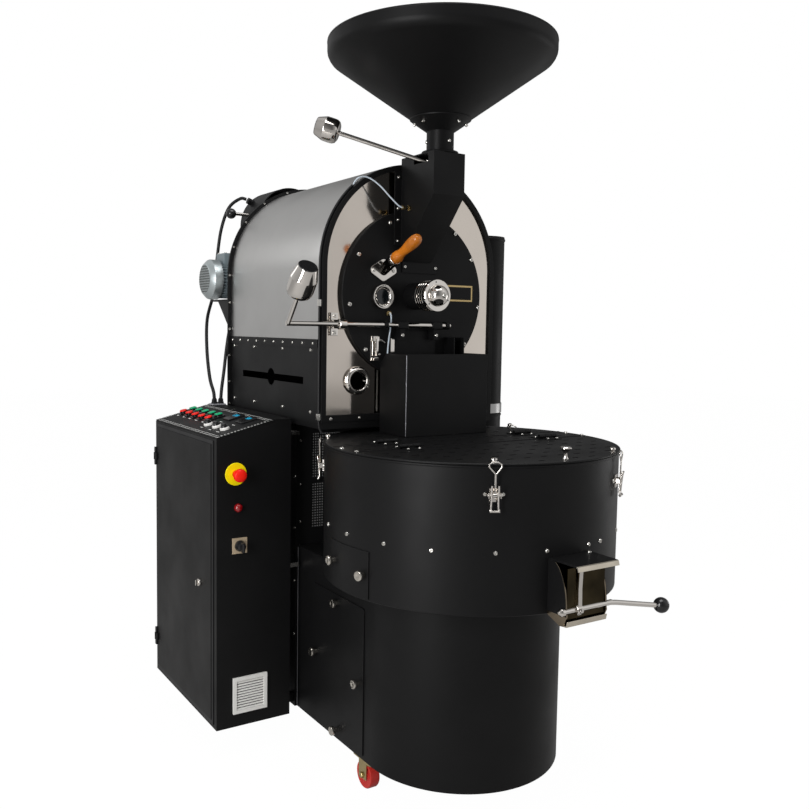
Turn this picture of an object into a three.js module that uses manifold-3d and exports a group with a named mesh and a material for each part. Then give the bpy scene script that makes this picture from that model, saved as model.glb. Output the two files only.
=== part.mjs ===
import * as THREE from 'three';
import { mergeVertices } from 'three/addons/utils/BufferGeometryUtils.js';
import Module from 'manifold-3d';

// Drum coffee roaster in millimetres: X to the right, Y to the back, Z up from the floor.
// Inside this file X = 0 is the drum's centre plane and Y = 0 the pedestal's centre.

// Clearances and sheet
const seat = 0.3;
const run = 0.6;
const overrun = 5;
const sheet = 4;
const thinSheet = 3;

// Base and pedestal
const casterHeight = 100;
const pedestalRadius = 292;
const pedestalHeight = 526;
const baseHalfWidth = 300;
const baseFront = 456;
const baseDepth = 489;
const doorFront = 42;
const doorWidth = 300;
const doorLow = 10;
const doorHeight = 426;
const windowHalfWidth = 245;
const windowHeight = 144;
const windowRise = 161;
const windowHead = 33;

// Cooling bin
const binForward = 36;
const binRadius = 411;
const binHeight = 368;
const binFloorRise = 153;
const lidRadius = 414;
const lidSheet = 5;
const seamFront = -48;
const hatchHeight = 125;
const hatchAngle = 25;
const hatchAzimuth = -87;
const latchAzimuths = [-29.5, 31, -123];

// Bin gate
const gateLeft = -65;
const gateRight = 75;
const gateReach = 92;
const gateTop = 140;
const gateShaftOut = 53;
const gateShaftRise = 22;
const gateShaftRadius = 8;
const flapRadius = 104;

// Deck, drum casing and front, from the lid up and from the deck's front edge back
const deckGap = 16.7;
const deckSheet = 20;
const deckFront = 262;
const casingRadius = 318;
const casingRise = 480;
const bandProud = 2;
const bandWidth = 16;
const bandDepth = 24;
const bandFoot = 21;
const plateInset = 8;
const plateSheet = 5;
const sideHeight = 244;
const discRadius = 257;
const discRise = 402;
const discProud = 7;
const drumRise = 399;
const drumRadius = 235;
const drumClear = 14;
const shaftRadius = 22;
const rearRadius = 330;
const rearSheet = 8;

// Feed chute, hopper and feed gate
const chuteHalf = 55.5;
const chuteOut = 169;
const chuteRise = 330;
const chuteFace = 123;
const chuteDrop = 306;
const chuteMouth = 95;
const neckIn = 49;
const neckRadius = 40;
const neckHeight = 67;
const hopperRadius = 333;
const hopperCone = 202;
const hopperBand = 45;
const gateDrop = 44;
const feedKnobReach = 342;
const feedKnobRise = 76;
const feedKnobAngle = 35;
const fittingDrop = 152;

// Discharge door and lever
const leverOut = 38;
const leverDrop = 89;
const leverRadius = 7;
const leverLeft = -450;
const leverRight = 85;
const leafHalf = 76;
const leafHeight = 108;

// Chute guard
const guardLeft = -122;
const guardRight = 178;
const guardOut = 145;
const guardHeight = 241.4;

// Trier
const trierX = -117;
const trierRise = 72;
const trierTilt = 23.8;
const trierTube = 62;
const trierRadius = 17;
const trierReach = 208;

// Exhaust, motor and duct
const hoodRadius = 133;
const hoodX = -78;
const hoodRise = 197;
const hoodDepth = 165;
const damperBack = 107;
const damperRise = 36;
const motorRadius = 72;
const motorBack = 95;
const motorRise = 69;
const motorLeft = -380;
const motorLength = 150;
const sprocketX = -160;
const drumSprocketRadius = 108;
const driveSprocketRadius = 44;
const ductOut = 105;
const ductY = 430;
const ductRadius = 75;
const ductRise = 139;
const fanHoleBack = 104;
const fanHoleRise = 210;
const fanHoleRadius = 55;
const ductBoxHeight = 110;

// Control cabinet
const cabinetGap = 39;
const cabinetWidth = 243;
const cabinetFront = 415;
const cabinetDepth = 567;
const cabinetSide = 888;
const panelWidth = 188;
const panelRise = 47;
const cabinetDoorInset = 22;
const cabinetDoorFrontInset = 36;

// Casters
const wheelRadius = 40;
const wheelWidth = 30;
const casterInset = 37;
const casterFront = 45;
const casterRearInset = 65;
const casterTrail = 28;

// Levels worked out from the sizes above
const pedestalTop = casterHeight + pedestalHeight;
const binTop = pedestalTop + binHeight;
const binFloor = pedestalTop + binFloorRise;
const lidTop = binTop + seat + lidSheet;
const deckLow = lidTop + deckGap;
const deckTop = deckLow + deckSheet;
const casingZ = deckLow + casingRise;
const sideTop = deckTop + sideHeight;
const discZ = deckLow + discRise;
const drumZ = deckLow + drumRise;
const gateZ = pedestalTop + gateShaftRise;
const hingeZ = lidTop + 7;
const guardTop = lidTop + seat + guardHeight;
const leverZ = drumZ - leverDrop;
const trierZ = discZ + trierRise;
const chuteTop = casingZ + chuteRise;
const chuteElbow = chuteTop - chuteFace;
const chuteFoot = chuteTop - chuteDrop;
const chuteMouthZ = chuteFoot + chuteMouth;
const hoodZ = casingZ + hoodRise;
const damperZ = hoodZ + damperRise;
const motorZ = drumZ + motorRise;
const ductTop = casingZ + ductRise;
const fanHoleZ = casterHeight + fanHoleRise;
const ductFoot = fanHoleZ + ductBoxHeight;
const cabinetSideTop = casterHeight + cabinetSide;
const cabinetTop = cabinetSideTop + panelRise;

// Planes worked out from the sizes above
const bandFront = deckFront - bandProud;
const plateFront = bandFront + plateInset;
const casingFront = bandFront + bandDepth;
const discFront = bandFront - discProud;
const rearFront = baseFront + baseDepth;
const rearBack = rearFront + rearSheet;
const gateY = -(binRadius + gateShaftOut);
const leverY = discFront - leverOut;
const chuteFront = discFront - chuteOut;
const neckY = chuteFront + neckIn;
const guardFront = discFront - guardOut;
const damperY = rearBack + damperBack;
const motorY = rearBack + motorBack;
const ductX = baseHalfWidth + ductOut;
const fanHoleY = baseFront + fanHoleBack;
const casterX = pedestalRadius - casterInset;
const casterRear = rearFront - casterRearInset;
const cabinetRight = -(baseHalfWidth + cabinetGap);
const cabinetLeft = cabinetRight - cabinetWidth;
const cabinetBack = cabinetFront + cabinetDepth;
const cabinetDoorFront = cabinetFront + cabinetDoorFrontInset;
const cabinetDoorBack = cabinetBack - cabinetDoorInset;
const panelAngle = Math.atan2(panelRise, panelWidth);

// Places on the cabinet, as shares of its width, depth and height
const acrossCabinet = (share) => cabinetLeft + share * cabinetWidth;
const backCabinet = (share) => cabinetFront + share * cabinetDepth;
const upCabinet = (share) => casterHeight + share * cabinetSide;
const stopX = acrossCabinet(0.25);
const stopZ = upCabinet(0.875);
const switchX = acrossCabinet(0.3);
const switchZ = upCabinet(0.63);
const lampX = acrossCabinet(0.28);
const lampZ = upCabinet(0.76);
const ventX = acrossCabinet(0.44);
const ventZ = upCabinet(0.11);
const lockY = backCabinet(0.22);
const lockZ = upCabinet(0.48);
const doorHingeLevels = [upCabinet(0.86), upCabinet(0.14)];
const buttonRows = [0.925, 0.82, 0.715, 0.61, 0.505].map(backCabinet);
const selectorRows = [0.375, 0.25, 0.135].map(backCabinet);
const displayRows = [0.36, 0.18].map(backCabinet);

const wasm = await Module();
wasm.setup();

const AXIS_X = new THREE.Vector3(1, 0, 0);
const AXIS_Y = new THREE.Vector3(0, 1, 0);
const AXIS_Z = new THREE.Vector3(0, 0, 1);
const rad = THREE.MathUtils.degToRad;
const fine = 40;
const mid = 16;
const small = 10;

// A closed geometry as a manifold solid, turned outside out where a matrix mirrored it.
function solid(geometry) {
  const bare = geometry.index ? geometry.toNonIndexed() : geometry.clone();
  bare.deleteAttribute('normal');
  bare.deleteAttribute('uv');
  const merged = mergeVertices(bare, 1e-3);
  const place = merged.attributes.position.array;
  const index = Uint32Array.from(merged.index.array);
  let volume = 0;
  const corner = (i) => new THREE.Vector3().fromArray(place, 3 * index[i]);
  for (let i = 0; i < index.length; i += 3) {
    volume += corner(i).dot(corner(i + 1).cross(corner(i + 2)));
  }
  if (volume < 0) {
    index.reverse();
  }
  return new wasm.Manifold(new wasm.Mesh({ numProp: 3, vertProperties: Float32Array.from(place), triVerts: index }));
}

function join(first, ...others) {
  return others.reduce((sum, other) => sum.add(other), first);
}

function cut(first, ...others) {
  return others.reduce((rest, other) => rest.subtract(other), first);
}

function box(x0, x1, y0, y1, z0, z1) {
  const block = new THREE.BoxGeometry(x1 - x0, y1 - y0, z1 - z0);
  block.translate((x0 + x1) / 2, (y0 + y1) / 2, (z0 + z1) / 2);
  return solid(block);
}

// A round bar between two points given as [x, y, z].
function bar(start, end, radius, sides = mid, endRadius = radius) {
  const from = new THREE.Vector3(...start);
  const to = new THREE.Vector3(...end);
  const along = to.clone().sub(from);
  const rod = new THREE.CylinderGeometry(endRadius, radius, along.length(), sides);
  rod.applyQuaternion(new THREE.Quaternion().setFromUnitVectors(AXIS_Y, along.clone().normalize()));
  rod.translate(...from.add(to).multiplyScalar(0.5).toArray());
  return solid(rod);
}

function ball(centre, radius, sides = small) {
  const sphere = new THREE.SphereGeometry(radius, sides, sides / 2);
  sphere.translate(...centre);
  return solid(sphere);
}

// A turned piece: profile points [radius, height] from one end to the other, along an axis through a point.
function turned(profile, origin, axis = AXIS_Z, sides = fine) {
  const shape = new THREE.LatheGeometry(profile.map(([r, h]) => new THREE.Vector2(r, h)), sides);
  shape.applyQuaternion(new THREE.Quaternion().setFromUnitVectors(AXIS_Y, axis));
  shape.translate(...origin);
  return solid(shape);
}

function tube(start, end, outer, inner, sides = mid) {
  const from = new THREE.Vector3(...start);
  const axis = new THREE.Vector3(...end).sub(from);
  const length = axis.length();
  return turned([[inner, 0], [outer, 0], [outer, length], [inner, length], [inner, 0]], start, axis.normalize(), sides);
}

function outline(points) {
  return new THREE.Shape(points.map(([a, b]) => new THREE.Vector2(a, b)));
}

// Plan outline [x, y] raised from z0 to z1.
function raised(shape, z0, z1, steps = mid) {
  const block = new THREE.ExtrudeGeometry(shape, { depth: z1 - z0, bevelEnabled: false, curveSegments: steps });
  block.translate(0, 0, z0);
  return solid(block);
}

// Front outline [x, z] run back from y0 to y1.
function runBack(shape, y0, y1, steps = mid) {
  const block = new THREE.ExtrudeGeometry(shape, { depth: y1 - y0, bevelEnabled: false, curveSegments: steps });
  block.rotateX(Math.PI / 2);
  block.translate(0, y1, 0);
  return solid(block);
}

// Side outline [y, z] run across from x0 to x1.
function runAcross(shape, x0, x1) {
  const block = new THREE.ExtrudeGeometry(shape, { depth: x1 - x0, bevelEnabled: false });
  block.applyMatrix4(new THREE.Matrix4().makeBasis(AXIS_Y, AXIS_Z, AXIS_X));
  block.translate(x0, 0, 0);
  return solid(block);
}

function arch(radius, low, centre) {
  const shape = new THREE.Shape();
  shape.moveTo(radius, low);
  shape.lineTo(radius, centre);
  shape.absarc(0, centre, radius, 0, Math.PI, false);
  shape.lineTo(-radius, low);
  shape.closePath();
  return shape;
}

function cable(points, radius) {
  const curve = new THREE.CatmullRomCurve3(points.map((p) => new THREE.Vector3(...p)));
  const section = new THREE.Shape();
  section.absarc(0, 0, radius, 0, 2 * Math.PI, false);
  const steps = 3 * points.length;
  return solid(new THREE.ExtrudeGeometry(section, { extrudePath: curve, steps, curveSegments: 4, bevelEnabled: false }));
}

const machine = new THREE.Group();

function finish(color, roughness, metalness) {
  return new THREE.MeshStandardMaterial({ color, roughness, metalness });
}

const black = finish(0x26282a, 0.5, 0.3);
const silver = finish(0xb9bbba, 0.35, 0.9);
const stainless = finish(0xc8bdb2, 0.25, 1);
const chrome = finish(0xd9dadb, 0.08, 1);
const steel = finish(0x8d9194, 0.4, 0.9);
const iron = finish(0x5b5e60, 0.6, 0.7);
const blueSilver = finish(0x8b98a5, 0.4, 0.6);
const wood = finish(0xc9772b, 0.4, 0);
const red = finish(0xb3231f, 0.5, 0);
const zinc = finish(0xb9a869, 0.35, 0.8);
const rubber = finish(0x141414, 0.8, 0);
const green = finish(0x2f8f4a, 0.4, 0);
const white = finish(0xdde4ea, 0.5, 0);

function add(name, body, material, parent = machine) {
  const mesh = body.getMesh();
  const geometry = new THREE.BufferGeometry();
  geometry.setAttribute('position', new THREE.BufferAttribute(new Float32Array(mesh.vertProperties), 3));
  geometry.setIndex(new THREE.BufferAttribute(new Uint32Array(mesh.triVerts), 1));
  geometry.computeVertexNormals();
  const part = new THREE.Mesh(geometry, material);
  part.name = name;
  parent.add(part);
  return part;
}

function turnedBy(body, degrees) {
  return body.rotate([0, 0, degrees]);
}

// Front pedestal: a U-shaped shell, open at the back, with a door in its left side
const doorOpening = box(-pedestalRadius - overrun, -pedestalRadius + 2 * sheet + overrun, doorFront + sheet,
  doorFront + doorWidth - sheet, casterHeight + doorLow + sheet, casterHeight + doorLow + doorHeight - sheet);

function uPlan(radius, back) {
  const shape = new THREE.Shape();
  shape.moveTo(radius, back);
  shape.lineTo(-radius, back);
  shape.lineTo(-radius, 0);
  shape.absarc(0, 0, radius, Math.PI, 2 * Math.PI, false);
  shape.closePath();
  return shape;
}

const pedestalRoof = pedestalTop - seat - sheet;
const motorBore = 30;

function pedestalShell() {
  const outside = raised(uPlan(pedestalRadius, baseFront - seat), casterHeight, pedestalTop - seat);
  const inside = raised(uPlan(pedestalRadius - sheet, baseFront + overrun), casterHeight + sheet, pedestalRoof);
  const shaftHole = bar([0, -binForward, pedestalRoof - overrun], [0, -binForward, pedestalTop + overrun], motorBore);
  return cut(outside, inside, doorOpening, shaftHole);
}

function accessDoor() {
  const outside = -pedestalRadius - seat;
  const low = casterHeight + doorLow;
  let door = box(outside - thinSheet, outside, doorFront, doorFront + doorWidth, low, low + doorHeight);
  const knobRadius = 13;
  const knobLength = 22;
  const knobPlaceShares = [[0.6, 0.94], [0.95, 0.48], [0.12, 0.47], [0.6, 0.06]];
  for (const [alongShare, upShare] of knobPlaceShares) {
    const y = doorFront + alongShare * doorWidth;
    const z = low + upShare * doorHeight;
    door = door.add(bar([outside - knobLength, y, z], [outside - thinSheet / 2, y, z], knobRadius, small));
  }
  return door;
}

// Base housing with its corner posts, two front windows and the rear caster forks
const wheelGap = wheelWidth / 2 + 2;
const forkSheet = 4;
const axleRadius = 5;
const bracketHeight = 26;
const bracketGap = 12;

function baseHousing() {
  const top = deckLow - seat;
  const back = rearFront;
  let body = box(-baseHalfWidth, baseHalfWidth, baseFront, back, casterHeight, top);
  const half = baseHalfWidth - sheet;
  body = body.subtract(box(-half, half, baseFront + sheet, back - sheet, casterHeight + sheet, top + overrun));
  for (const row of [0, 1]) {
    const high = deckLow - windowHead - row * windowRise;
    body = body.subtract(box(-windowHalfWidth, windowHalfWidth, baseFront - overrun, baseFront + sheet + overrun,
      high - windowHeight, high));
  }
  const ventShare = 0.6;
  const ventHalf = ventShare * baseHalfWidth;
  const ventMid = (casterHeight + top) / 2;
  body = body.subtract(box(-ventHalf, ventHalf, back - sheet - overrun, back + overrun, ventMid, ventMid + ventHalf));
  body = body.subtract(bar([half - overrun, fanHoleY, fanHoleZ], [baseHalfWidth + overrun, fanHoleY, fanHoleZ],
    fanHoleRadius));
  for (const side of [-1, 1]) {
    body = body.add(rearFork(side * casterX));
  }
  const bracketLevelShares = [0.012, 0.509, 0.965];
  for (const share of bracketLevelShares) {
    const z = casterHeight + share * (top - casterHeight);
    body = body.add(box(cabinetRight + seat, -baseHalfWidth + sheet / 2, baseFront + bracketGap,
      baseFront + bracketGap + bracketHeight, z, z + bracketHeight));
    body = body.add(box(cabinetRight + seat, -baseHalfWidth + sheet / 2, back - bracketHeight, back, z,
      z + bracketHeight));
  }
  return body;
}

function rearFork(x) {
  const cheekDepth = 24;
  const cheekLow = wheelRadius - 12;
  const left = box(x - wheelGap - forkSheet, x - wheelGap, casterRear - cheekDepth, casterRear + cheekDepth, cheekLow,
    casterHeight + sheet / 2);
  const right = box(x + wheelGap, x + wheelGap + forkSheet, casterRear - cheekDepth, casterRear + cheekDepth, cheekLow,
    casterHeight + sheet / 2);
  const axle = bar([x - wheelGap - forkSheet / 2, casterRear, wheelRadius],
    [x + wheelGap + forkSheet / 2, casterRear, wheelRadius], axleRadius, small);
  return join(left, right, axle);
}

function meshPanel() {
  const y = baseFront + sheet + seat;
  const low = deckLow - windowHead - windowRise - windowHeight - sheet;
  const high = deckLow - windowHead + sheet;
  const half = windowHalfWidth + sheet;
  return box(-half, half, y, y + thinSheet, low, high);
}

// Casters: a wheel between two cheeks; the front pair swivel
function wheel() {
  const rimWidth = wheelWidth / 2;
  const bore = axleRadius + run;
  return tube([-rimWidth, 0, 0], [rimWidth, 0, 0], wheelRadius, bore, mid);
}

function swivelFork() {
  const plateSheetLow = casterHeight - seat - 2 * forkSheet;
  const plateHalf = 32;
  const plate = box(-plateHalf, plateHalf, -plateHalf, plateHalf + casterTrail, plateSheetLow, casterHeight - seat);
  const cheekDepth = 20;
  const left = box(-wheelGap - forkSheet, -wheelGap, casterTrail - cheekDepth, casterTrail + cheekDepth,
    wheelRadius - cheekDepth / 2, plateSheetLow + forkSheet);
  const right = box(wheelGap, wheelGap + forkSheet, casterTrail - cheekDepth, casterTrail + cheekDepth,
    wheelRadius - cheekDepth / 2, plateSheetLow + forkSheet);
  const axle = bar([-wheelGap - forkSheet / 2, casterTrail, wheelRadius],
    [wheelGap + forkSheet / 2, casterTrail, wheelRadius], axleRadius, small);
  return join(plate, left, right, axle);
}

function addCasters() {
  for (const [name, x] of [['left', -casterX], ['right', casterX]]) {
    const fork = add(`caster_fork_${name}`, swivelFork(), zinc);
    fork.position.set(x, casterFront, 0);
    const front = add(`caster_wheel_front_${name}`, wheel(), red);
    front.position.set(x, casterFront + casterTrail, wheelRadius);
    const rear = add(`caster_wheel_rear_${name}`, wheel(), red);
    rear.position.set(x, casterRear, wheelRadius);
  }
}

// Cooling bin: pan, slotted floor, discharge channel, spout and latch brackets. It and all that it carries are
// drawn about the bin's own centre, which stands binForward in front of the pedestal's.
const binGroup = new THREE.Group();
binGroup.position.y = -binForward;
machine.add(binGroup);

const channelDepth = 72;
const agitatorShaft = 18;

function coolingBin() {
  const low = pedestalTop;
  const inner = binRadius - sheet;
  const wall = turned([[0, low], [binRadius, low], [binRadius, binTop], [inner, binTop], [inner, low + sheet],
    [0, low + sheet]], [0, 0, 0]);
  const floor = bar([0, 0, binFloor], [0, 0, binFloor + sheet], inner + sheet / 2, fine);
  const channelBack = -binRadius + channelDepth;
  const channel = box(gateLeft - sheet, gateRight + sheet, -binRadius + 2 * sheet, channelBack, low + sheet / 2,
    binFloor + sheet / 2);
  let bin = join(wall, floor, channel);
  bin = bin.subtract(box(gateLeft, gateRight, -binRadius - overrun, channelBack - sheet, low + 2 * sheet,
    pedestalTop + gateTop - sheet));
  bin = bin.subtract(box(gateLeft, gateRight, -binRadius + 3 * sheet, channelBack - sheet, low + 2 * sheet,
    binFloor + sheet + overrun));
  const slotCount = 10;
  const slotHalf = 9;
  for (let i = 0; i < slotCount; i += 1) {
    const slot = box(-slotHalf, slotHalf, binRadius / 4, inner - 4 * sheet, binFloor - overrun,
      binFloor + sheet + overrun);
    bin = bin.subtract(turnedBy(slot, 180 / slotCount + (360 * (i + 0.5)) / slotCount - 180));
  }
  bin = bin.subtract(bar([0, 0, low - overrun], [0, 0, binFloor + sheet + overrun], agitatorShaft + run, mid));
  const hatchHole = hatchPlate(binRadius - 2 * sheet, binRadius + overrun, 2 * sheet);
  bin = bin.subtract(hatchHole);
  bin = bin.add(spout());
  for (const azimuth of latchAzimuths) {
    bin = bin.add(turnedBy(latchBracket(), azimuth));
  }
  return bin;
}

// A curved plate on the bin's wall, drawn at the front and turned to its azimuth.
function hatchPlate(innerRadius, outerRadius, inset) {
  const low = pedestalTop + sheet + inset;
  const high = low + hatchHeight - 2 * inset;
  const ring = tube([0, 0, low], [0, 0, high], outerRadius, innerRadius, fine);
  const half = (outerRadius + overrun) * Math.tan(rad(hatchAngle / 2)) - inset;
  const sector = raised(outline([[0, 0], [-half, -outerRadius - overrun], [half, -outerRadius - overrun]]), low, high);
  return ring.intersect(turnedBy(sector, hatchAzimuth));
}

function binHatch() {
  const skin = hatchPlate(binRadius + seat, binRadius + seat + thinSheet, 0);
  const knobRadius = 13;
  const knobLength = 24;
  const knobShare = 0.3;
  const z = pedestalTop + hatchHeight / 2;
  let hatch = skin;
  for (const side of [-1, 1]) {
    const knob = bar([0, -binRadius - seat - knobLength, z], [0, -binRadius - seat - thinSheet / 2, z], knobRadius,
      small);
    hatch = hatch.add(turnedBy(knob, hatchAzimuth + side * knobShare * hatchAngle));
  }
  return hatch;
}

// Spout on the wall: roof, two cheeks and a sloping pan, cut to the wall's curve
function spout() {
  const out = -(binRadius + gateReach);
  const roof = pedestalTop + gateTop;
  const pan = pedestalTop - 2 * sheet;
  const inside = -binRadius + 2 * sheet;
  const cheek = outline([[inside, roof], [out, roof], [out, roof - 2 * overrun], [gateY, pan - sheet],
    [gateY + 2 * gateShaftRadius, pan - 2 * sheet], [inside, pedestalTop]]);
  const left = runAcross(cheek, gateLeft - sheet, gateLeft);
  const right = runAcross(cheek, gateRight, gateRight + sheet);
  const top = box(gateLeft - sheet / 2, gateRight + sheet / 2, out, inside, roof - sheet, roof);
  const slope = outline([[inside, pedestalTop], [inside, pedestalTop + sheet], [gateY, pan], [gateY, pan - sheet]]);
  const floor = runAcross(slope, gateLeft - sheet / 2, gateRight + sheet / 2);
  const whole = join(left, right, top, floor);
  const bore = bar([gateLeft - 2 * sheet, gateY, gateZ], [gateRight + 2 * sheet, gateY, gateZ], gateShaftRadius + run);
  const clear = bar([0, 0, pan - 4 * sheet], [0, 0, roof + overrun], binRadius - sheet / 2, fine);
  return cut(whole, bore, clear);
}

const latchHalf = 15;
const latchPinOut = 12;
const latchPinZ = binTop - 69;
const latchPinRadius = 3;

function latchBracket() {
  const ear = 4;
  const earHeight = 14;
  const backHeight = 40;
  const backOut = binRadius + ear;
  const back = box(-latchHalf - 2 * ear, latchHalf + 2 * ear, -backOut, -binRadius + 2 * sheet, latchPinZ - backHeight / 2,
    latchPinZ + backHeight / 2);
  let bracket = cut(back, bar([0, 0, latchPinZ - backHeight], [0, 0, latchPinZ + backHeight], binRadius - sheet / 2, fine));
  for (const side of [-1, 1]) {
    const x = side * (latchHalf + ear);
    bracket = bracket.add(box(x - ear / 2, x + ear / 2, -binRadius - latchPinOut - 2 * latchPinRadius,
      -binRadius - ear / 2, latchPinZ - earHeight / 2, latchPinZ + earHeight / 2));
  }
  const pinY = -binRadius - latchPinOut;
  const pin = bar([-latchHalf - ear, pinY, latchPinZ], [latchHalf + ear, pinY, latchPinZ], latchPinRadius, small);
  return bracket.add(pin);
}

// Toggle latch lever, drawn about its own pin
function latchLever() {
  const eye = latchPinRadius + 4;
  const leverHeight = lidTop + 2 * lidSheet - latchPinZ;
  const barrel = bar([-latchHalf + seat, 0, 0], [latchHalf - seat, 0, 0], eye, small);
  const plate = box(-latchHalf + seat, latchHalf - seat, -eye, -eye + thinSheet + 1, 0, leverHeight);
  const hook = box(-latchHalf / 2, latchHalf / 2, -eye + 1, latchPinOut - 2 * thinSheet, leverHeight - thinSheet,
    leverHeight);
  const bore = bar([-latchHalf - overrun, 0, 0], [latchHalf + overrun, 0, 0], latchPinRadius + run, small);
  return cut(join(barrel, plate, hook), bore);
}

function addLatches() {
  latchAzimuths.forEach((azimuth, i) => {
    const spot = new THREE.Group();
    spot.rotation.z = rad(azimuth);
    const lever = add(`lid_latch_${i + 1}`, latchLever(), chrome, spot);
    lever.position.set(0, -binRadius - latchPinOut, latchPinZ);
    binGroup.add(spot);
  });
}

// Bin lid: fixed rear part and bridge, with the opening for the beans, and the hinged front flap
const hingeXs = [-238, 252];
const knuckle = 22;
const hingeRadius = 6;
const hingePin = 3;

function lidDisc() {
  return bar([0, 0, binTop + seat], [0, 0, lidTop], lidRadius, fine);
}

function binLid() {
  const front = box(-lidRadius - overrun, lidRadius + overrun, -lidRadius - overrun, seamFront, binTop - overrun,
    lidTop + overrun);
  const beans = box(guardLeft + thinSheet, guardRight - thinSheet, guardFront + binForward + thinSheet,
    discFront + binForward, binTop - overrun, lidTop + overrun);
  let lid = cut(lidDisc(), front, beans);
  for (const x of hingeXs) {
    const clip = 1.5 * knuckle;
    for (const side of [-1, 1]) {
      const near = x + side * (knuckle / 2 + seat);
      const far = x + side * clip;
      const cheek = bar([near, seamFront, hingeZ], [far, seamFront, hingeZ], hingeRadius, small);
      const foot = box(Math.min(near, far), Math.max(near, far), seamFront + 1, seamFront + 4 * hingeRadius,
        lidTop - lidSheet / 2, hingeZ - 1);
      lid = lid.add(cheek).add(foot);
    }
    lid = lid.add(bar([x - clip, seamFront, hingeZ], [x + clip, seamFront, hingeZ], hingePin, small));
  }
  return lid;
}

function lidFlap() {
  const rear = box(-lidRadius - overrun, lidRadius + overrun, seamFront - 1, lidRadius + overrun, binTop - overrun,
    lidTop + overrun);
  let flap = lidDisc().subtract(rear);
  for (const x of hingeXs) {
    const half = knuckle / 2 - seat;
    flap = flap.add(bar([x - half, seamFront, hingeZ], [x + half, seamFront, hingeZ], hingeRadius, small));
    flap = flap.add(box(x - half, x + half, seamFront - 4 * hingeRadius, seamFront - 1, lidTop - lidSheet / 2,
      hingeZ - 1));
    flap = flap.subtract(bar([x - knuckle, seamFront, hingeZ], [x + knuckle, seamFront, hingeZ], hingePin + run,
      small));
  }
  const knobInset = 37;
  const knobHeight = 31;
  const knobRadius = 14.5;
  const knobStemShare = 0.35;
  const knobShoulderShare = 0.78;
  const knobEdgeShare = 0.93;
  const stem = knobStemShare * knobRadius;
  const knob = turned([[0, -lidSheet / 2], [stem, -lidSheet / 2], [stem, knobHeight / 2],
    [knobRadius, knobShoulderShare * knobHeight], [knobRadius, knobEdgeShare * knobHeight], [stem, knobHeight],
    [0, knobHeight]], [0, knobInset - lidRadius, lidTop], AXIS_Z, mid);
  return flap.add(knob);
}

// Agitator: shaft, hub and four raised arms with blades just over the floor
function agitator() {
  const armCount = 4;
  const armTurn = 20;
  const hubRadius = 42;
  const bladeClear = 12;
  const bladeHeight = 34;
  const bladeHalf = 4;
  const bladeInset = 40;
  const armHalf = 10;
  const armSheet = 12;
  const shaftDepth = 120;
  const armLow = binFloor + sheet + bladeClear;
  const armHigh = armLow + bladeHeight;
  const reach = binRadius - sheet - bladeClear;
  let body = bar([0, 0, pedestalRoof - shaftDepth], [0, 0, armHigh + hubRadius], agitatorShaft, mid);
  body = body.add(bar([0, 0, armLow], [0, 0, armHigh + hubRadius / 2], hubRadius, mid));
  for (let i = 0; i < armCount; i += 1) {
    const arm = join(box(-armHalf, armHalf, hubRadius / 2, reach, armHigh - armSheet, armHigh),
      box(-bladeHalf, bladeHalf, hubRadius + bladeInset, reach, armLow, armHigh));
    body = body.add(turnedBy(arm, (360 * i) / armCount + armTurn));
  }
  return body;
}

function agitatorMotor() {
  const top = pedestalRoof - seat;
  const flangeRadius = 70;
  const flangeSheet = 8;
  const gearHalf = 60;
  const gearHeight = 124;
  const canFront = 40;
  const canBack = 230;
  const canDrop = 80;
  const canRadius = 52;
  const flange = bar([0, 0, top - flangeSheet], [0, 0, top], flangeRadius, mid);
  const gear = box(-gearHalf, gearHalf, -gearHalf, gearHalf, top - gearHeight, top - flangeSheet / 2);
  const can = bar([0, canFront, top - canDrop], [0, canBack, top - canDrop], canRadius, mid);
  const bore = bar([0, 0, top - gearHeight - overrun], [0, 0, top + overrun], agitatorShaft + run, mid);
  return cut(join(flange, gear, can), bore);
}

// Bin gate: shaft, flap plate and lever with its ball
function binGate() {
  const shaftLeftEnd = 24;
  const shaftRightEnd = 17;
  const plateClear = 2;
  const plateHalf = 3;
  const plateUp = 22;
  const crankRadius = 7;
  const knobRadius = 20;
  const knobOut = [165, -30, -23];
  const tip = [gateRight + knobOut[0], knobOut[1], knobOut[2]];
  const shaft = bar([gateLeft - shaftLeftEnd, 0, 0], [gateRight + shaftRightEnd, 0, 0], gateShaftRadius, mid);
  const plate = box(gateLeft + plateClear, gateRight - plateClear, -plateHalf, plateHalf, -plateUp, flapRadius);
  const crank = bar([gateRight + shaftRightEnd - crankRadius, 0, 0], tip, crankRadius, small);
  return join(shaft, plate, crank, ball(tip, knobRadius));
}

// Chute guard: a four-sided sheet box, its left side chamfered at the back, standing on the lid
function chuteGuard() {
  const low = lidTop + seat;
  const back = discFront - 1;
  const chamfer = 34;
  const outside = box(guardLeft, guardRight, guardFront, back, low, guardTop);
  const inside = box(guardLeft + thinSheet, guardRight - thinSheet, guardFront + thinSheet, back + overrun,
    low - overrun, guardTop + overrun);
  const slope = outline([[back - chamfer, guardTop + seat], [back + overrun, guardTop + seat],
    [back + overrun, guardTop - chamfer - overrun]]);
  const corner = runAcross(slope, guardLeft - overrun, guardLeft + thinSheet + overrun);
  return cut(outside, inside, corner);
}

// Burner housing: deck and side panels with their slots
const slotInset = 95;
const slotBackInset = 105;
const slotFront = casingFront + slotInset;
const slotBack = rearFront - slotBackInset;
const slotRise = 118;
const slotHalf = 11;
const slotEye = 28;

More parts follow.
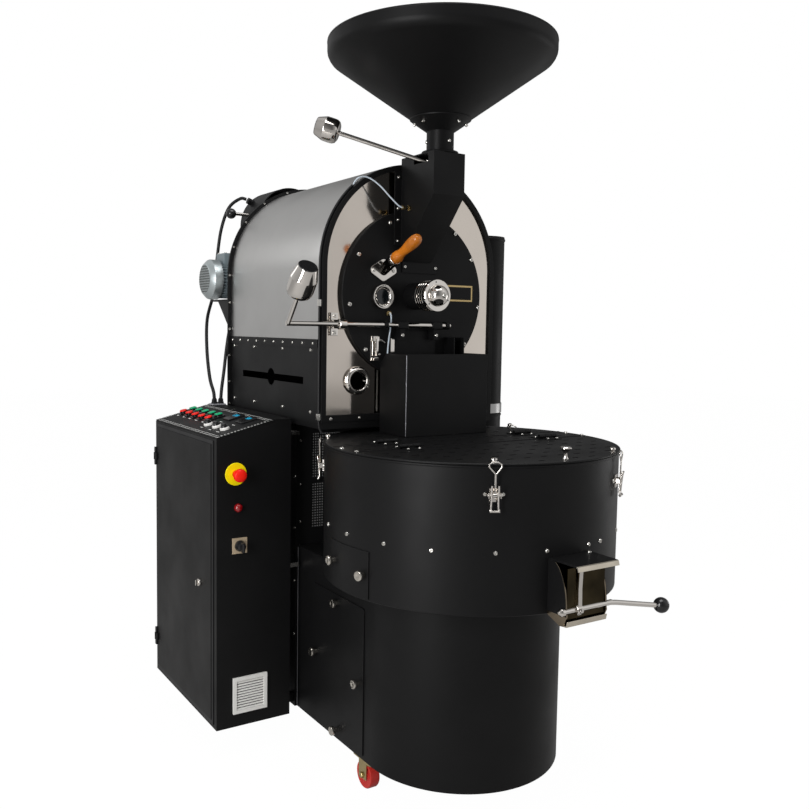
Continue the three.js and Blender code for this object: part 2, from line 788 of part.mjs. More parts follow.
function burnerHousing() {
  const low = deckTop - sheet;
  const deck = box(-casingRadius, casingRadius, deckFront, rearFront - seat, deckLow, deckTop);
  const ductShare = 0.55;
  const hole = box(-ductShare * casingRadius, ductShare * casingRadius, slotFront + 2 * slotEye, slotBack,
    deckLow - overrun, deckTop + overrun);
  let body = deck.subtract(hole);
  for (const side of [-1, 1]) {
    const outer = side * casingRadius;
    const inner = side * (casingRadius - thinSheet);
    const panel = box(Math.min(outer, inner), Math.max(outer, inner), casingFront + seat, rearFront - seat, low,
      sideTop);
    const lip = side * (casingRadius + thinSheet);
    const strip = box(Math.min(inner, lip), Math.max(inner, lip), casingFront + seat, rearFront - seat,
      sideTop - 2 * bracketGap, sideTop);
    const z = deckTop + slotRise;
    const wide = side * (casingRadius + 2 * overrun);
    const deep = side * (casingRadius - 2 * overrun);
    const slot = box(Math.min(wide, deep), Math.max(wide, deep), slotFront, slotBack, z - slotHalf, z + slotHalf);
    const eye = bar([wide, (slotFront + slotBack) / 2, z], [deep, (slotFront + slotBack) / 2, z], slotEye, mid);
    body = body.add(panel.subtract(slot).subtract(eye)).add(strip);
  }
  return body;
}

function burnerTray() {
  const halfShare = 0.72;
  const trayInset = 20;
  const holeInset = 80;
  const tubeRise = 50;
  const tubeRadius = 15;
  const tubeSpreadShare = 0.8;
  const beamHalf = 6;
  const beamInset = 40;
  const low = deckTop + seat;
  const half = halfShare * casingRadius;
  const front = slotFront - trayInset;
  const back = slotBack + trayInset;
  const tray = box(-half, half, front, back, low, low + thinSheet);
  const hole = box(-half / 2, half / 2, front + holeInset, back - holeInset, low - overrun, low + overrun);
  let body = tray.subtract(hole);
  const tubeCount = 5;
  for (let i = 0; i < tubeCount; i += 1) {
    const x = half * ((2 * i) / (tubeCount - 1) - 1) * tubeSpreadShare;
    body = body.add(bar([x, front + trayInset, low + tubeRise], [x, back - trayInset, low + tubeRise], tubeRadius,
      small));
  }
  for (const y of [front + beamInset, back - beamInset]) {
    body = body.add(box(-half, half, y - beamHalf, y + beamHalf, low, low + tubeRise));
  }
  return body;
}

// Casing: front band, stainless front plate, cast face disc, silver wrap and rear plate
function frontBand() {
  const outer = runBack(arch(casingRadius, deckTop + seat, casingZ), bandFront, casingFront);
  const inner = runBack(arch(casingRadius - bandWidth, deckTop + seat + bandFoot, casingZ), bandFront - overrun,
    casingFront + overrun);
  return outer.subtract(inner);
}

const plateHole = discRadius - 17;
const portX = -196;
const portRise = 122;
const portRadius = 43;
const portBore = 27;
const leverBracketX = -278;

function frontPlate() {
  const low = deckTop + bandFoot + 2 * seat;
  const sheetArch = runBack(arch(casingRadius - bandWidth - seat, low, casingZ), plateFront, plateFront + plateSheet);
  const hole = bar([0, plateFront - overrun, discZ], [0, plateFront + plateSheet + overrun, discZ], plateHole, fine);
  const portZ = deckTop + portRise;
  const port = bar([portX, bandFront - 8, portZ], [portX, plateFront + 1, portZ], portRadius, mid);
  const bore = bar([portX, bandFront - 20, portZ], [portX, plateFront + plateSheet + overrun, portZ], portBore, mid);
  const discSpace = bar([0, discFront - overrun, discZ], [0, plateFront - seat, discZ], discRadius + 1, fine);
  const bracket = box(leverBracketX - 12, leverBracketX + 12, leverY, plateFront + 1, leverZ - 34, leverZ + 34);
  const nose = bar([leverBracketX - 12, leverY, leverZ], [leverBracketX + 12, leverY, leverZ], leverRadius + 8, mid);
  const notch = box(leverBracketX - 20, leverBracketX + 20, leverY - 40, plateFront - 2 * overrun, leverZ + 16,
    leverZ + 60);
  const notchLow = box(leverBracketX - 20, leverBracketX + 20, leverY - 40, plateFront - 2 * overrun, leverZ - 60,
    leverZ - 16);
  const leverBore = bar([leverBracketX - 20, leverY, leverZ], [leverBracketX + 20, leverY, leverZ], leverRadius + run,
    mid);
  const lug = cut(bracket.add(nose), notch, notchLow, leverBore);
  return cut(sheetArch.subtract(hole).add(port), bore, discSpace).add(lug);
}

const trierAxis = new THREE.Vector3(0, -Math.cos(rad(trierTilt)), Math.sin(rad(trierTilt)));
const sightX = -119;
const sightRise = -7;
const sightRadius = 37;
const glassRadius = 22;

function trierPoint(distance) {
  return [trierX, discFront + distance * trierAxis.y, trierZ + distance * trierAxis.z];
}

function faceDisc() {
  const back = plateFront - seat;
  const spigotBack = casingFront;
  const face = bar([0, discFront, discZ], [0, back, discZ], discRadius, fine);
  const spigot = bar([0, back - 1, discZ], [0, spigotBack, discZ], plateHole - 1, fine);
  const through = spigotBack + overrun;
  const shaftBore = bar([0, discFront - overrun, drumZ], [0, through, drumZ], shaftRadius + run, mid);
  const doorHole = box(-leafHalf + 12, leafHalf - 12, discFront - overrun, through, leverZ - leafHeight, leverZ - 28);
  const feedHole = box(-chuteHalf + 2 * sheet, chuteHalf - 2 * sheet, discFront - overrun, through, chuteFoot + 12,
    chuteMouthZ);
  const sight = bar([sightX, discFront - overrun, discZ + sightRise], [sightX, through, discZ + sightRise],
    glassRadius, mid);
  const trierBore = bar(trierPoint(40), trierPoint(-80), trierRadius - 3, mid);
  let disc = cut(face.add(spigot), shaftBore, doorHole, feedHole, sight, trierBore);
  for (const x of [leverRight + 12, -leafHalf - 52]) {
    const ear = box(x - 5, x + 5, leverY, discFront + 1, leverZ - 12, leverZ + 12);
    const round = bar([x - 5, leverY, leverZ], [x + 5, leverY, leverZ], 12, mid);
    const bore = bar([x - 10, leverY, leverZ], [x + 10, leverY, leverZ], leverRadius + run, mid);
    disc = disc.add(ear.add(round).subtract(bore));
  }
  const cheekHeight = 90;
  for (const x of [120, 157]) {
    disc = disc.add(box(x - 2, x + 2, discFront - 50, discFront + 1, leverZ - 36 - cheekHeight, leverZ - 36));
  }
  return disc;
}

function barrelWrap() {
  const low = sideTop + seat;
  const outer = runBack(arch(casingRadius, low, casingZ), casingFront + seat, rearFront - seat);
  const inner = runBack(arch(casingRadius - thinSheet, low - overrun, casingZ), casingFront - overrun,
    rearFront + overrun);
  return outer.subtract(inner);
}

const bearingRadius = 45;
const bearingDepth = 22;
const shelfHalfGap = 4;

function rearPlate() {
  const plate = runBack(arch(rearRadius, deckLow + seat, casingZ), rearFront, rearBack);
  const boss = bar([0, rearBack - 1, drumZ], [0, rearBack + bearingDepth, drumZ], bearingRadius, mid);
  const bore = bar([0, rearFront - overrun, drumZ], [0, rearBack + bearingDepth + overrun, drumZ], shaftRadius + run,
    mid);
  const flue = bar([hoodX, rearFront - overrun, hoodZ], [hoodX, rearBack + overrun, hoodZ], hoodRadius / 2, mid);
  const shelfTop = motorZ - motorRadius - seat;
  const shelfLeft = motorLeft + 50;
  const shelfRight = sprocketX + shelfHalfGap + 40;
  const shelf = box(shelfLeft, shelfRight, rearBack - 1, motorY + motorRadius, shelfTop - 6, shelfTop);
  const web = runAcross(outline([[rearBack - 1, shelfTop - 1], [motorY, shelfTop - 1], [rearBack - 1, shelfTop - 90]]),
    shelfLeft, shelfLeft + 6);
  return cut(join(plate, boss, shelf, web), bore, flue);
}

// Drum on its shaft, open at the front, with vanes inside and the chain sprocket behind
const sprocketY = rearBack + bearingDepth + 10;
const sprocketWidth = 12;
const hubTip = 150;

function drum() {
  const front = casingFront + drumClear / 2;
  const back = rearFront - drumClear;
  const wallThick = 5;
  const shell = turned([[0, back - wallThick], [drumRadius - wallThick, back - wallThick],
    [drumRadius - wallThick, front], [drumRadius, front], [drumRadius, back], [0, back]], [0, 0, drumZ], AXIS_Y);
  const shaft = bar([0, hubTip, drumZ], [0, sprocketY + 2 * sprocketWidth, drumZ], shaftRadius, mid);
  const sprocket = bar([0, sprocketY, drumZ], [0, sprocketY + sprocketWidth, drumZ], drumSprocketRadius, fine);
  let body = join(shell, shaft, sprocket);
  const vaneCount = 4;
  for (let i = 0; i < vaneCount; i += 1) {
    const vane = box(-2, 2, front + 10, back - wallThick / 2, drumRadius - 60, drumRadius - wallThick / 2);
    const turn = (360 * i) / vaneCount + 45;
    body = body.add(vane.rotate([0, turn, 0]).translate([0, 0, drumZ]));
  }
  const spokeY = front + 70;
  for (const turn of [0, 60, 120]) {
    const spoke = box(-5, 5, spokeY, spokeY + 20, -drumRadius + wallThick / 2, drumRadius - wallThick / 2);
    body = body.add(spoke.rotate([0, turn, 0]).translate([0, 0, drumZ]));
  }
  return body;
}

function driveSprocket() {
  const disc = bar([0, 0, 0], [0, sprocketWidth, 0], driveSprocketRadius, mid);
  const shaft = bar([0, -6, 0], [0, sprocketWidth + 40, 0], 12, mid);
  return disc.add(shaft);
}

function driveMotor() {
  const right = motorLeft + motorLength;
  const can = bar([motorLeft + 45, motorY, motorZ], [right, motorY, motorZ], motorRadius - 4, mid);
  const cowl = bar([motorLeft, motorY, motorZ], [motorLeft + 46, motorY, motorZ], motorRadius, mid);
  const gearFront = sprocketY + sprocketWidth + 6;
  const gear = box(right - 4, sprocketX + 56, gearFront, motorY + 46, motorZ - motorRadius, motorZ + 56);
  const terminal = box(motorLeft + 60, right - 20, motorY - 40, motorY + 40, motorZ + 50, motorZ + 96);
  const bore = bar([sprocketX, gearFront - overrun, motorZ], [sprocketX, sprocketY + sprocketWidth + 46, motorZ],
    12 + run, mid);
  return cut(join(can, cowl, gear, terminal), bore);
}

// Hub: bearing housing with cooling rings and a domed cap round the shaft's front end
function hubHousing() {
  const back = discFront - seat;
  const radius = 41;
  const ringRadius = 45;
  const capRadius = 47.5;
  const capY = 126;
  const profile = [[shaftRadius + run, back], [radius, back], [radius, capY + 64]];
  const ringCount = 4;
  for (let i = 0; i < ringCount; i += 1) {
    const y = capY + 64 - 10 * i;
    profile.push([ringRadius, y], [ringRadius, y - 5], [radius - 4, y - 5], [radius - 4, y - 10]);
  }
  profile.push([capRadius, capY + 14], [capRadius, capY + 4], [32, capY + 2], [30, capY - 10], [20, capY - 22],
    [8, capY - 28], [0, capY - 28], [0, hubTip - 8], [shaftRadius + run, hubTip - 8], [shaftRadius + run, back]);
  const closed = profile.slice(0, -1);
  const start = closed.shift();
  closed.push(start);
  closed.unshift(start);
  return turned(closed, [0, 0, drumZ], AXIS_Y, mid);
}

function sightGlass() {
  const z = discZ + sightRise;
  const ring = bar([sightX, discFront - 14, z], [sightX, discFront - seat, z], sightRadius, mid);
  const dish = bar([sightX, discFront - 20, z], [sightX, discFront - 6, z], glassRadius, mid);
  return ring.subtract(dish);
}

function trierSocket() {
  const flange = outline([[trierX - 46, trierZ], [trierX - 14, trierZ - 33], [trierX + 14, trierZ - 33],
    [trierX + 46, trierZ], [trierX + 14, trierZ + 33], [trierX - 14, trierZ + 33]]);
  const plate = runBack(flange, discFront - 6, discFront - seat);
  const sleeve = bar(trierPoint(trierTube), trierPoint(-10), trierRadius, mid);
  const bore = bar(trierPoint(trierTube + overrun), trierPoint(-40), trierRadius - 4, mid);
  const behind = box(trierX - 60, trierX + 60, discFront - seat, discFront + 60, trierZ - 60, trierZ + 60);
  return cut(plate.add(sleeve), bore, behind);
}

function trier() {
  const scoop = bar(trierPoint(trierTube + 8), trierPoint(-90), trierRadius - 5, mid);
  const hollow = box(trierX - trierRadius, trierX + trierRadius, discFront + 40, discFront + 120, trierZ - 70, trierZ + 30);
  const trough = hollow.intersect(bar(trierPoint(-45), trierPoint(-86), trierRadius - 8, mid).translate([0, 0, 6]));
  const ferrule = bar(trierPoint(trierTube + seat), trierPoint(trierTube + 14), trierRadius + 2, mid);
  const origin = trierPoint(trierTube + 13);
  const length = trierReach - trierTube - 13;
  const handle = turned([[0, 0], [16, 0], [18, 0.1 * length], [13, 0.3 * length], [17, 0.65 * length],
    [18, 0.82 * length], [12, 0.97 * length], [0, length]], origin, trierAxis, mid);
  return join(scoop.subtract(trough), ferrule, handle);
}

// Feed chute, its inner cross bar for the gate, and the hopper above
const gateLevel = chuteTop - gateDrop;
const feedPin = 5;

function feedChute() {
  const back = discFront - seat;
  const profile = outline([[chuteFront, chuteElbow], [chuteFront, chuteTop], [back, chuteTop], [back, chuteFoot],
    [back - 10, chuteFoot]]);
  const inner = outline([[chuteFront + sheet, chuteElbow + sheet], [chuteFront + sheet, chuteTop - sheet],
    [back - sheet, chuteTop - sheet], [back - sheet, chuteMouthZ], [back + overrun, chuteMouthZ],
    [back + overrun, chuteFoot + 12], [back - 12, chuteFoot + 12]]);
  let body = runAcross(profile, -chuteHalf, chuteHalf);
  body = body.subtract(runAcross(inner, -chuteHalf + sheet, chuteHalf - sheet));
  body = body.subtract(bar([0, neckY, chuteTop - 2 * sheet], [0, neckY, chuteTop + overrun], neckRadius - sheet, mid));
  body = body.add(box(-chuteHalf + 1, chuteHalf - 1, neckY - 6, neckY + 6, gateLevel - 18, gateLevel - 6));
  body = body.add(bar([0, neckY, gateLevel - 8], [0, neckY, gateLevel + 6], feedPin, small));
  const slot = box(-chuteHalf - overrun, -chuteHalf + sheet + overrun, neckY - 20, neckY + 54, chuteTop - 27,
    chuteTop - sheet);
  body = body.subtract(slot);
  const flangeHalf = 80;
  const side = box(-flangeHalf, -chuteHalf + 1, back - thinSheet - 1, back, chuteFoot + 46, chuteTop - 37);
  const foot = box(-49, flangeHalf, back - thinSheet - 1, back, chuteFoot - 34, chuteFoot + 1);
  const fittingZ = chuteTop - fittingDrop;
  const fitting = bar([-chuteHalf - 16, back - 48, fittingZ], [-chuteHalf + 1, back - 48, fittingZ], 6, small);
  return join(body, side, foot, fitting);
}

function hopper() {
  const low = chuteTop + seat;
  const coneLow = chuteTop + neckHeight;
  const coneHigh = coneLow + hopperCone;
  const inner = neckRadius - sheet;
  const top = coneHigh + hopperBand;
  return turned([[inner, low], [neckRadius + 14, low], [neckRadius + 14, low + 6], [neckRadius, low + 6],
    [neckRadius, coneLow], [hopperRadius - 16, coneHigh - 8], [hopperRadius - 4, coneHigh + 4],
    [hopperRadius, coneHigh + 18], [hopperRadius, top], [hopperRadius - thinSheet, top],
    [hopperRadius - thinSheet, coneHigh + 19], [hopperRadius - 7, coneHigh + 7], [hopperRadius - 18, coneHigh - 5],
    [inner, coneLow + 1.4], [inner, low]], [0, neckY, 0]);
}

function feedLever() {
  const level = gateLevel;
  const discOuter = neckRadius + 3;
  const hub = bar([0, 0, level - 5], [0, 0, level + 18], 12, mid);
  const blade = bar([0, 0, level - 3], [0, 0, level + 3], discOuter, fine);
  const sector = raised(outline([[0, 0], [discOuter + 20, -discOuter / 3], [discOuter + 20, discOuter + 10]]), level - 9,
    level + 9);
  const angle = Math.PI - rad(feedKnobAngle);
  const end = [feedKnobReach * Math.cos(angle), feedKnobReach * Math.sin(angle), chuteTop + feedKnobRise];
  const root = [0, 0, level + 10];
  const shareTo = (share) => root.map((v, i) => v + share * (end[i] - v));
  const rodRadius = 6.5;
  const knobShare = 0.9;
  const rod = bar(root, end, rodRadius, small);
  const knob = bar(shareTo(knobShare), shareTo(2 - knobShare), 36, small);
  const bore = bar([0, 0, level - 10], [0, 0, level + 7], feedPin + run, small);
  return cut(join(hub, blade, rod, knob), sector, bore);
}

// Discharge door leaf and its lever, turning together about the rod
function dischargeLever() {
  const rod = bar([leverLeft - 6, 0, 0], [leverRight + 24, 0, 0], leverRadius, mid);
  const arm = bar([leverLeft, 0, 0], [leverLeft, -52, 68], leverRadius, mid);
  const knob = bar([leverLeft, -52, 66], [leverLeft, -120, 153], 37, mid);
  const clampOne = box(-leafHalf - 10, -leafHalf + 26, -11, 11, -11, 11);
  const clampTwo = box(leafHalf - 38, leafHalf, -11, 11, -11, 11);
  return join(rod, arm, knob, clampOne, clampTwo);
}

function dischargeDoor() {
  const back = discFront - leverY - seat;
  const leaf = box(-leafHalf, leafHalf, back - 8, back, -leafHeight - 18, -16);
  const strapOne = box(-leafHalf + 2, -leafHalf + 18, 0, back - 7, -44, -9);
  const strapTwo = box(leafHalf - 26, leafHalf - 8, 0, back - 7, -44, -9);
  return join(dischargeLever(), leaf, strapOne, strapTwo);
}

// Exhaust hood with its damper, and the round duct on the right
function exhaustHood() {
  const front = rearBack + seat;
  const back = front + hoodDepth;
  const collar = 75;
  const inner = hoodRadius - thinSheet;
  const can = turned([[collar - thinSheet, back + 18], [collar - thinSheet, back - thinSheet], [inner, back - thinSheet],
    [inner, front], [hoodRadius, front], [hoodRadius, back], [collar, back], [collar, back + 18],
    [collar - thinSheet, back + 18]], [hoodX, 0, hoodZ], AXIS_Y, mid);
  const hole = bar([hoodX - hoodRadius - 20, damperY, damperZ], [hoodX - hoodRadius / 2, damperY, damperZ], 6 + run,
    small);
  const gland = bar([hoodX - 88, damperY + 20, hoodZ + 80], [hoodX - 120, damperY + 20, hoodZ + 92], 12, small);
  return can.subtract(hole).add(gland);
}

function damperSlide() {
  const blade = box(-40, 58, -1.5, 1.5, -60, 26);
  const rod = bar([-38, 0, 0], [-190, 0, 0], 6, small);
  const knob = ball([-194, 0, 0], 19);
  return join(blade, rod, knob);
}

function exhaustDuct() {
  const pipe = tube([ductX, ductY, ductFoot - sheet], [ductX, ductY, ductTop], ductRadius, ductRadius - thinSheet);
  const left = baseHalfWidth + seat;
  const right = ductX + ductRadius + thinSheet;
  const front = ductY - ductRadius;
  const back = fanHoleY + fanHoleRadius + 25;
  const low = fanHoleZ - fanHoleRadius - 25;
  const outer = box(left, right, front, back, low, ductFoot);
  const inner = box(left + sheet, right - sheet, front + sheet, back - sheet, low + sheet, ductFoot - sheet);
  const mouth = bar([left - overrun, fanHoleY, fanHoleZ], [left + sheet + overrun, fanHoleY, fanHoleZ], fanHoleRadius);
  const top = bar([ductX, ductY, ductFoot - 2 * sheet], [ductX, ductY, ductFoot + sheet], ductRadius - thinSheet);
  const strutLow = deckTop + 3;
  const strut = box(casingRadius + seat, ductX - ductRadius + 12, ductY - 20, ductY, strutLow, strutLow + 20);
  const hollowStrut = strut.subtract(bar([ductX, ductY, strutLow - 10], [ductX, ductY, strutLow + 40],
    ductRadius - 1));
  return join(cut(outer, inner, mouth).add(pipe).subtract(top), hollowStrut);
}

// Cooling fan inside the base, its outlet facing the duct
function coolingFan() {
  const floor = casterHeight + sheet + seat;
  const casingY = fanHoleY + 110;
  const casingR = 150;
  const left = 40;
  const right = 160;
  const axis = floor + 40 + casingR;
  const volute = bar([left, casingY, axis], [right, casingY, axis], casingR, mid);
  const outlet = bar([right - 20, fanHoleY, fanHoleZ], [baseHalfWidth - sheet - seat, fanHoleY, fanHoleZ],
    fanHoleRadius - 5, mid);
  const foot = box(left, right, casingY - 70, casingY + 70, floor, axis);
  const motor = bar([left - 130, casingY, axis], [left + 5, casingY, axis], 65, mid);
  return join(volute, outlet, foot, motor);
}

// Control cabinet: shell, sloping panel, door and its operators
const panelLength = Math.hypot(panelWidth, panelRise);
const panelGap = seat;

function cabinetShell() {
  const inset = sheet + panelGap;
  const slopeLeft = cabinetLeft + panelWidth;
  const profile = outline([[cabinetLeft, casterHeight], [cabinetRight, casterHeight], [cabinetRight, cabinetTop],
    [slopeLeft, cabinetTop], [slopeLeft, cabinetTop - inset], [cabinetLeft, cabinetSideTop - inset]]);
  const hollow = outline([[cabinetLeft + sheet, casterHeight + sheet], [cabinetRight - sheet, casterHeight + sheet],
    [cabinetRight - sheet, cabinetTop - sheet], [slopeLeft + sheet, cabinetTop - sheet],
    [slopeLeft + sheet, cabinetTop - 2 * inset - sheet], [cabinetLeft + sheet, cabinetSideTop - 2 * inset]]);
  let body = runBack(profile, cabinetFront, cabinetBack);
  body = body.subtract(runBack(hollow, cabinetFront + sheet, cabinetBack - sheet));
  const frame = 12;
  const doorHole = box(cabinetLeft - overrun, cabinetLeft + sheet + overrun, cabinetDoorFront + frame,
    cabinetDoorBack - frame, casterHeight + cabinetDoorInset + frame, cabinetSideTop - cabinetDoorInset - frame);
  const panelHole = box(cabinetLeft + 3 * sheet, slopeLeft - 2 * sheet, cabinetFront + 3 * sheet,
    cabinetBack - 3 * sheet, cabinetSideTop - 40, cabinetTop + overrun);
  body = cut(body, doorHole, panelHole);
  const lamp = bar([lampX, cabinetFront - 14, lampZ], [lampX, cabinetFront + 1, lampZ], 13, small);
  const ventHalf = 56;
  const vent = box(ventX - ventHalf, ventX + ventHalf, cabinetFront - 8, cabinetFront + 1, ventZ - ventHalf,
    ventZ + ventHalf);
  const stopHole = bar([stopX, cabinetFront - overrun, stopZ], [stopX, cabinetFront + sheet + overrun, stopZ], 12, mid);
  const stopPlate = tube([stopX, cabinetFront - 3, stopZ], [stopX, cabinetFront + 1, stopZ], 34, 12);
  const switchPlate = box(switchX - 24, switchX + 24, cabinetFront - 3, cabinetFront + 1, switchZ - 24, switchZ + 24);
  const switchHole = bar([switchX, cabinetFront - 2 * overrun, switchZ], [switchX, cabinetFront + sheet + overrun,
    switchZ], 8, mid);
  body = join(body, lamp, vent).subtract(stopHole).add(stopPlate).add(switchPlate).subtract(switchHole);
  for (const z of doorHingeLevels) {
    for (const side of [-1, 1]) {
      const mid1 = z + side * 22;
      body = body.add(box(doorHingeX - 3, cabinetLeft + 1, cabinetDoorBack + 2, cabinetDoorBack + 14, mid1 - 9,
        mid1 + 9));
    }
    body = body.add(bar([doorHingeX, doorHingeY, z - 26], [doorHingeX, doorHingeY, z + 26], 3, small));
  }
  return body;
}

const doorSkin = cabinetLeft - seat;
const doorHingeX = cabinetLeft - 7;
const doorHingeY = cabinetDoorBack + 8;
const lockRadius = 12;

function cabinetDoor() {
  let door = box(doorSkin - sheet, doorSkin, cabinetDoorFront, cabinetDoorBack, casterHeight + cabinetDoorInset,
    cabinetSideTop - cabinetDoorInset);
  for (const z of doorHingeLevels) {
    const barrel = bar([doorHingeX, doorHingeY, z - 12], [doorHingeX, doorHingeY, z + 12], 6, small);
    const leaf = box(doorHingeX - 3, doorSkin - 1, cabinetDoorBack - 6, doorHingeY, z - 12, z + 12);
    const bore = bar([doorHingeX, doorHingeY, z - 20], [doorHingeX, doorHingeY, z + 20], 3 + run, small);
    door = door.add(leaf).add(barrel).subtract(bore);
  }
  return door.subtract(bar([doorSkin - 3 * sheet, lockY, lockZ], [doorSkin + sheet, lockY, lockZ], lockRadius - 4, mid));
}

function doorLock() {
  const outside = -sheet - seat;
  const cap = bar([outside - 8, 0, 0], [outside, 0, 0], lockRadius, mid);
  const stem = bar([outside - 1, 0, 0], [20, 0, 0], lockRadius - 4 - run, mid);
  const cam = box(14, 18, -6, 6, -30, 6);
  const key = box(outside - 16, outside - 7, -2.5, 2.5, -9, 9);
  return join(cap, stem, cam, key);
}

function estopButton() {
  const head = turned([[0, -44], [18, -42], [20, -36], [20, -28], [15, -22], [15, -16], [11, -16], [11, 16], [0, 16]],
    [0, 0, 0], AXIS_Y, mid);
  return head;
}

function mainSwitch() {
  const dial = bar([0, -22, 0], [0, -3 - seat, 0], 17, mid);
  const grip = box(-5, 5, -34, -20, -16, 16);
  const stem = bar([0, -8, 0], [0, 24, 0], 8 - run, mid);
  return join(dial, grip, stem);
}

// Sloping panel: operators stand square to it, placed along its slope from the cabinet's left edge
const buttonPitch = 36;
const buttonAlong = 107;
const selectorAlong = 59;
const buttonRadius = 13;
const stemRadius = 10;

function controlPanel() {
  let panel = box(0, panelLength - sheet, cabinetFront, cabinetBack, -sheet, 0);
  const stemHole = (along, y) => bar([along, y, -2 * sheet], [along, y, sheet], stemRadius + run, small);
  for (const y of buttonRows) {
    panel = panel.subtract(stemHole(buttonAlong, y));
  }
  for (const y of selectorRows) {
    panel = panel.subtract(stemHole(selectorAlong, y));
  }
  for (const y of displayRows) {
    panel = panel.add(box(buttonAlong + 8, buttonAlong + 64, y - 26, y + 26, -sheet / 2, 5));
  }
  return panel;
}

function buttonPair() {
  const stem = bar([0, 0, -18], [0, 0, 9], stemRadius, small);
  const bridge = box(-buttonPitch / 2, buttonPitch / 2, -4, 4, 5, 9);
  const caps = [-1, 1].map((side) => bar([side * buttonPitch / 2, 0, 5], [side * buttonPitch / 2, 0, 13], buttonRadius,
    small));
  return join(stem, bridge, ...caps);
}

function selector() {
  const stem = bar([0, 0, -18], [0, 0, 4], stemRadius, small);
  const ring = bar([0, 0, seat], [0, 0, 8], buttonRadius + 2, small);
  const grip = box(-4, 4, -13, 13, 6, 20);
  return join(stem, ring, grip);
}

function addPanel() {
  const slope = new THREE.Group();
  slope.position.set(cabinetLeft, 0, cabinetSideTop);
  slope.rotation.y = -panelAngle;
  machine.add(slope);
  add('control_panel', controlPanel(), black, slope);
  buttonRows.forEach((y, i) => {
    add(`button_pair_${i + 1}`, buttonPair(), green, slope).position.set(buttonAlong, y, 0);
  });
  selectorRows.forEach((y, i) => {
    add(`selector_${i + 1}`, selector(), rubber, slope).position.set(selectorAlong, y, 0);
  });
}

// Cables: one loom from a gland plate on the cabinet's top, and the two thermocouple leads
const cableRadius = 6;
const leadRadius = 3;

function cableLoom() {
  const low = cabinetTop + seat;
  const plate = box(-392, -342, 935, 976, low, low + 4);
  const glands = [[-378, 955], [-354, 955]].map(([x, y]) => bar([x, y, low + 2], [x, y, low + 24], 10, small));
  const hoodRun = cable([[-203, 1080, 1789], [-225, 1087, 1790], [-262, 1105, 1756], [-280, 1135, 1680],
    [-290, 1150, 1580], [-305, 1152, 1440], [-340, 1125, 1340], [-366, 1060, 1230], [-380, 995, 1130],
    [-379, 960, 1080], [-378, 955, 1050]], cableRadius);
  const plateRun = cable([[-296, 954.6, 1351], [-297, 968, 1350], [-312, 972, 1310], [-326, 968, 1242],
    [-338, 963, 1160], [-350, 957, 1090], [-354, 955, 1050]], cableRadius);
  return join(plate, ...glands, hoodRun, plateRun);
}

function upperLead() {
  return cable([[-72, 204.7, 1674], [-92, 205, 1677], [-120, 212, 1702], [-150, 225, 1735], [-180, 238, 1756],
    [-205, 244, 1756], [-216, 252, 1746], [-219, 259.5, 1736]], leadRadius);
}

function lowerLead() {
  return cable([[-96, 252.5, 1361], [-96, 240, 1361], [-97, 233, 1350], [-99, 232, 1320], [-102, 236, 1285],
    [-104, 240, 1240], [-107, 244, 1180], [-109, 246, 1120], [-109, 246, 1060]], leadRadius);
}

function addAll() {
  add('pedestal_shell', pedestalShell(), black);
  add('access_door', accessDoor(), black);
  add('base_housing', baseHousing(), black);
  add('front_mesh_panel', meshPanel(), iron);
  addCasters();
  add('cooling_bin', coolingBin(), black, binGroup);
  add('bin_hatch', binHatch(), black, binGroup);
  addLatches();
  add('bin_lid', binLid(), black, binGroup);
  add('lid_flap', lidFlap(), black, binGroup);
  add('agitator', agitator(), steel, binGroup);
  add('agitator_motor', agitatorMotor(), blueSilver, binGroup);
  add('bin_gate', binGate(), chrome, binGroup).position.set(0, gateY, gateZ);
  add('chute_guard', chuteGuard(), black);
  add('burner_housing', burnerHousing(), black);
  add('burner_tray', burnerTray(), steel);
  add('front_band', frontBand(), black);
  add('front_plate', frontPlate(), stainless);
  add('face_disc', faceDisc(), black);
  add('barrel_wrap', barrelWrap(), silver);
  add('rear_plate', rearPlate(), black);
  add('drum', drum(), iron);
  add('drive_sprocket', driveSprocket(), steel).position.set(sprocketX, sprocketY, motorZ);
  add('drive_motor', driveMotor(), blueSilver);
  add('hub_housing', hubHousing(), chrome);
  add('sight_glass', sightGlass(), chrome);
  add('trier_socket', trierSocket(), chrome);
  add('trier', trier(), wood);
  add('feed_chute', feedChute(), black);
  add('hopper', hopper(), black);
  add('feed_lever', feedLever(), chrome).position.set(0, neckY, 0);
  add('discharge_door', dischargeDoor(), chrome).position.set(0, leverY, leverZ);
  add('exhaust_hood', exhaustHood(), black);
  add('damper_slide', damperSlide(), chrome).position.set(hoodX, damperY, damperZ);
  add('exhaust_duct', exhaustDuct(), black);
  add('cooling_fan', coolingFan(), blueSilver);
  add('cabinet_shell', cabinetShell(), black);
  add('cabinet_door', cabinetDoor(), black);
  add('door_lock', doorLock(), chrome).position.set(doorSkin, lockY, lockZ);
  add('estop_button', estopButton(), red).position.set(stopX, cabinetFront, stopZ);
  add('main_switch', mainSwitch(), rubber).position.set(switchX, cabinetFront, switchZ);
  addPanel();
  add('cable_loom', cableLoom(), rubber);
  add('upper_thermocouple_lead', upperLead(), white);
  add('lower_thermocouple_lead', lowerLead(), white);
}

addAll();

// The part's own frame stands on the floor under the middle of its bounding box.
machine.updateMatrixWorld(true);
const bounds = new THREE.Box3().setFromObject(machine, true);
const centre = bounds.getCenter(new THREE.Vector3());
machine.position.set(-centre.x, -centre.y, -bounds.min.z);

export default machine;
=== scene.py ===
import bpy
from math import acos, atan2, cos, hypot, pi, radians, sin
from mathutils import Matrix, Vector


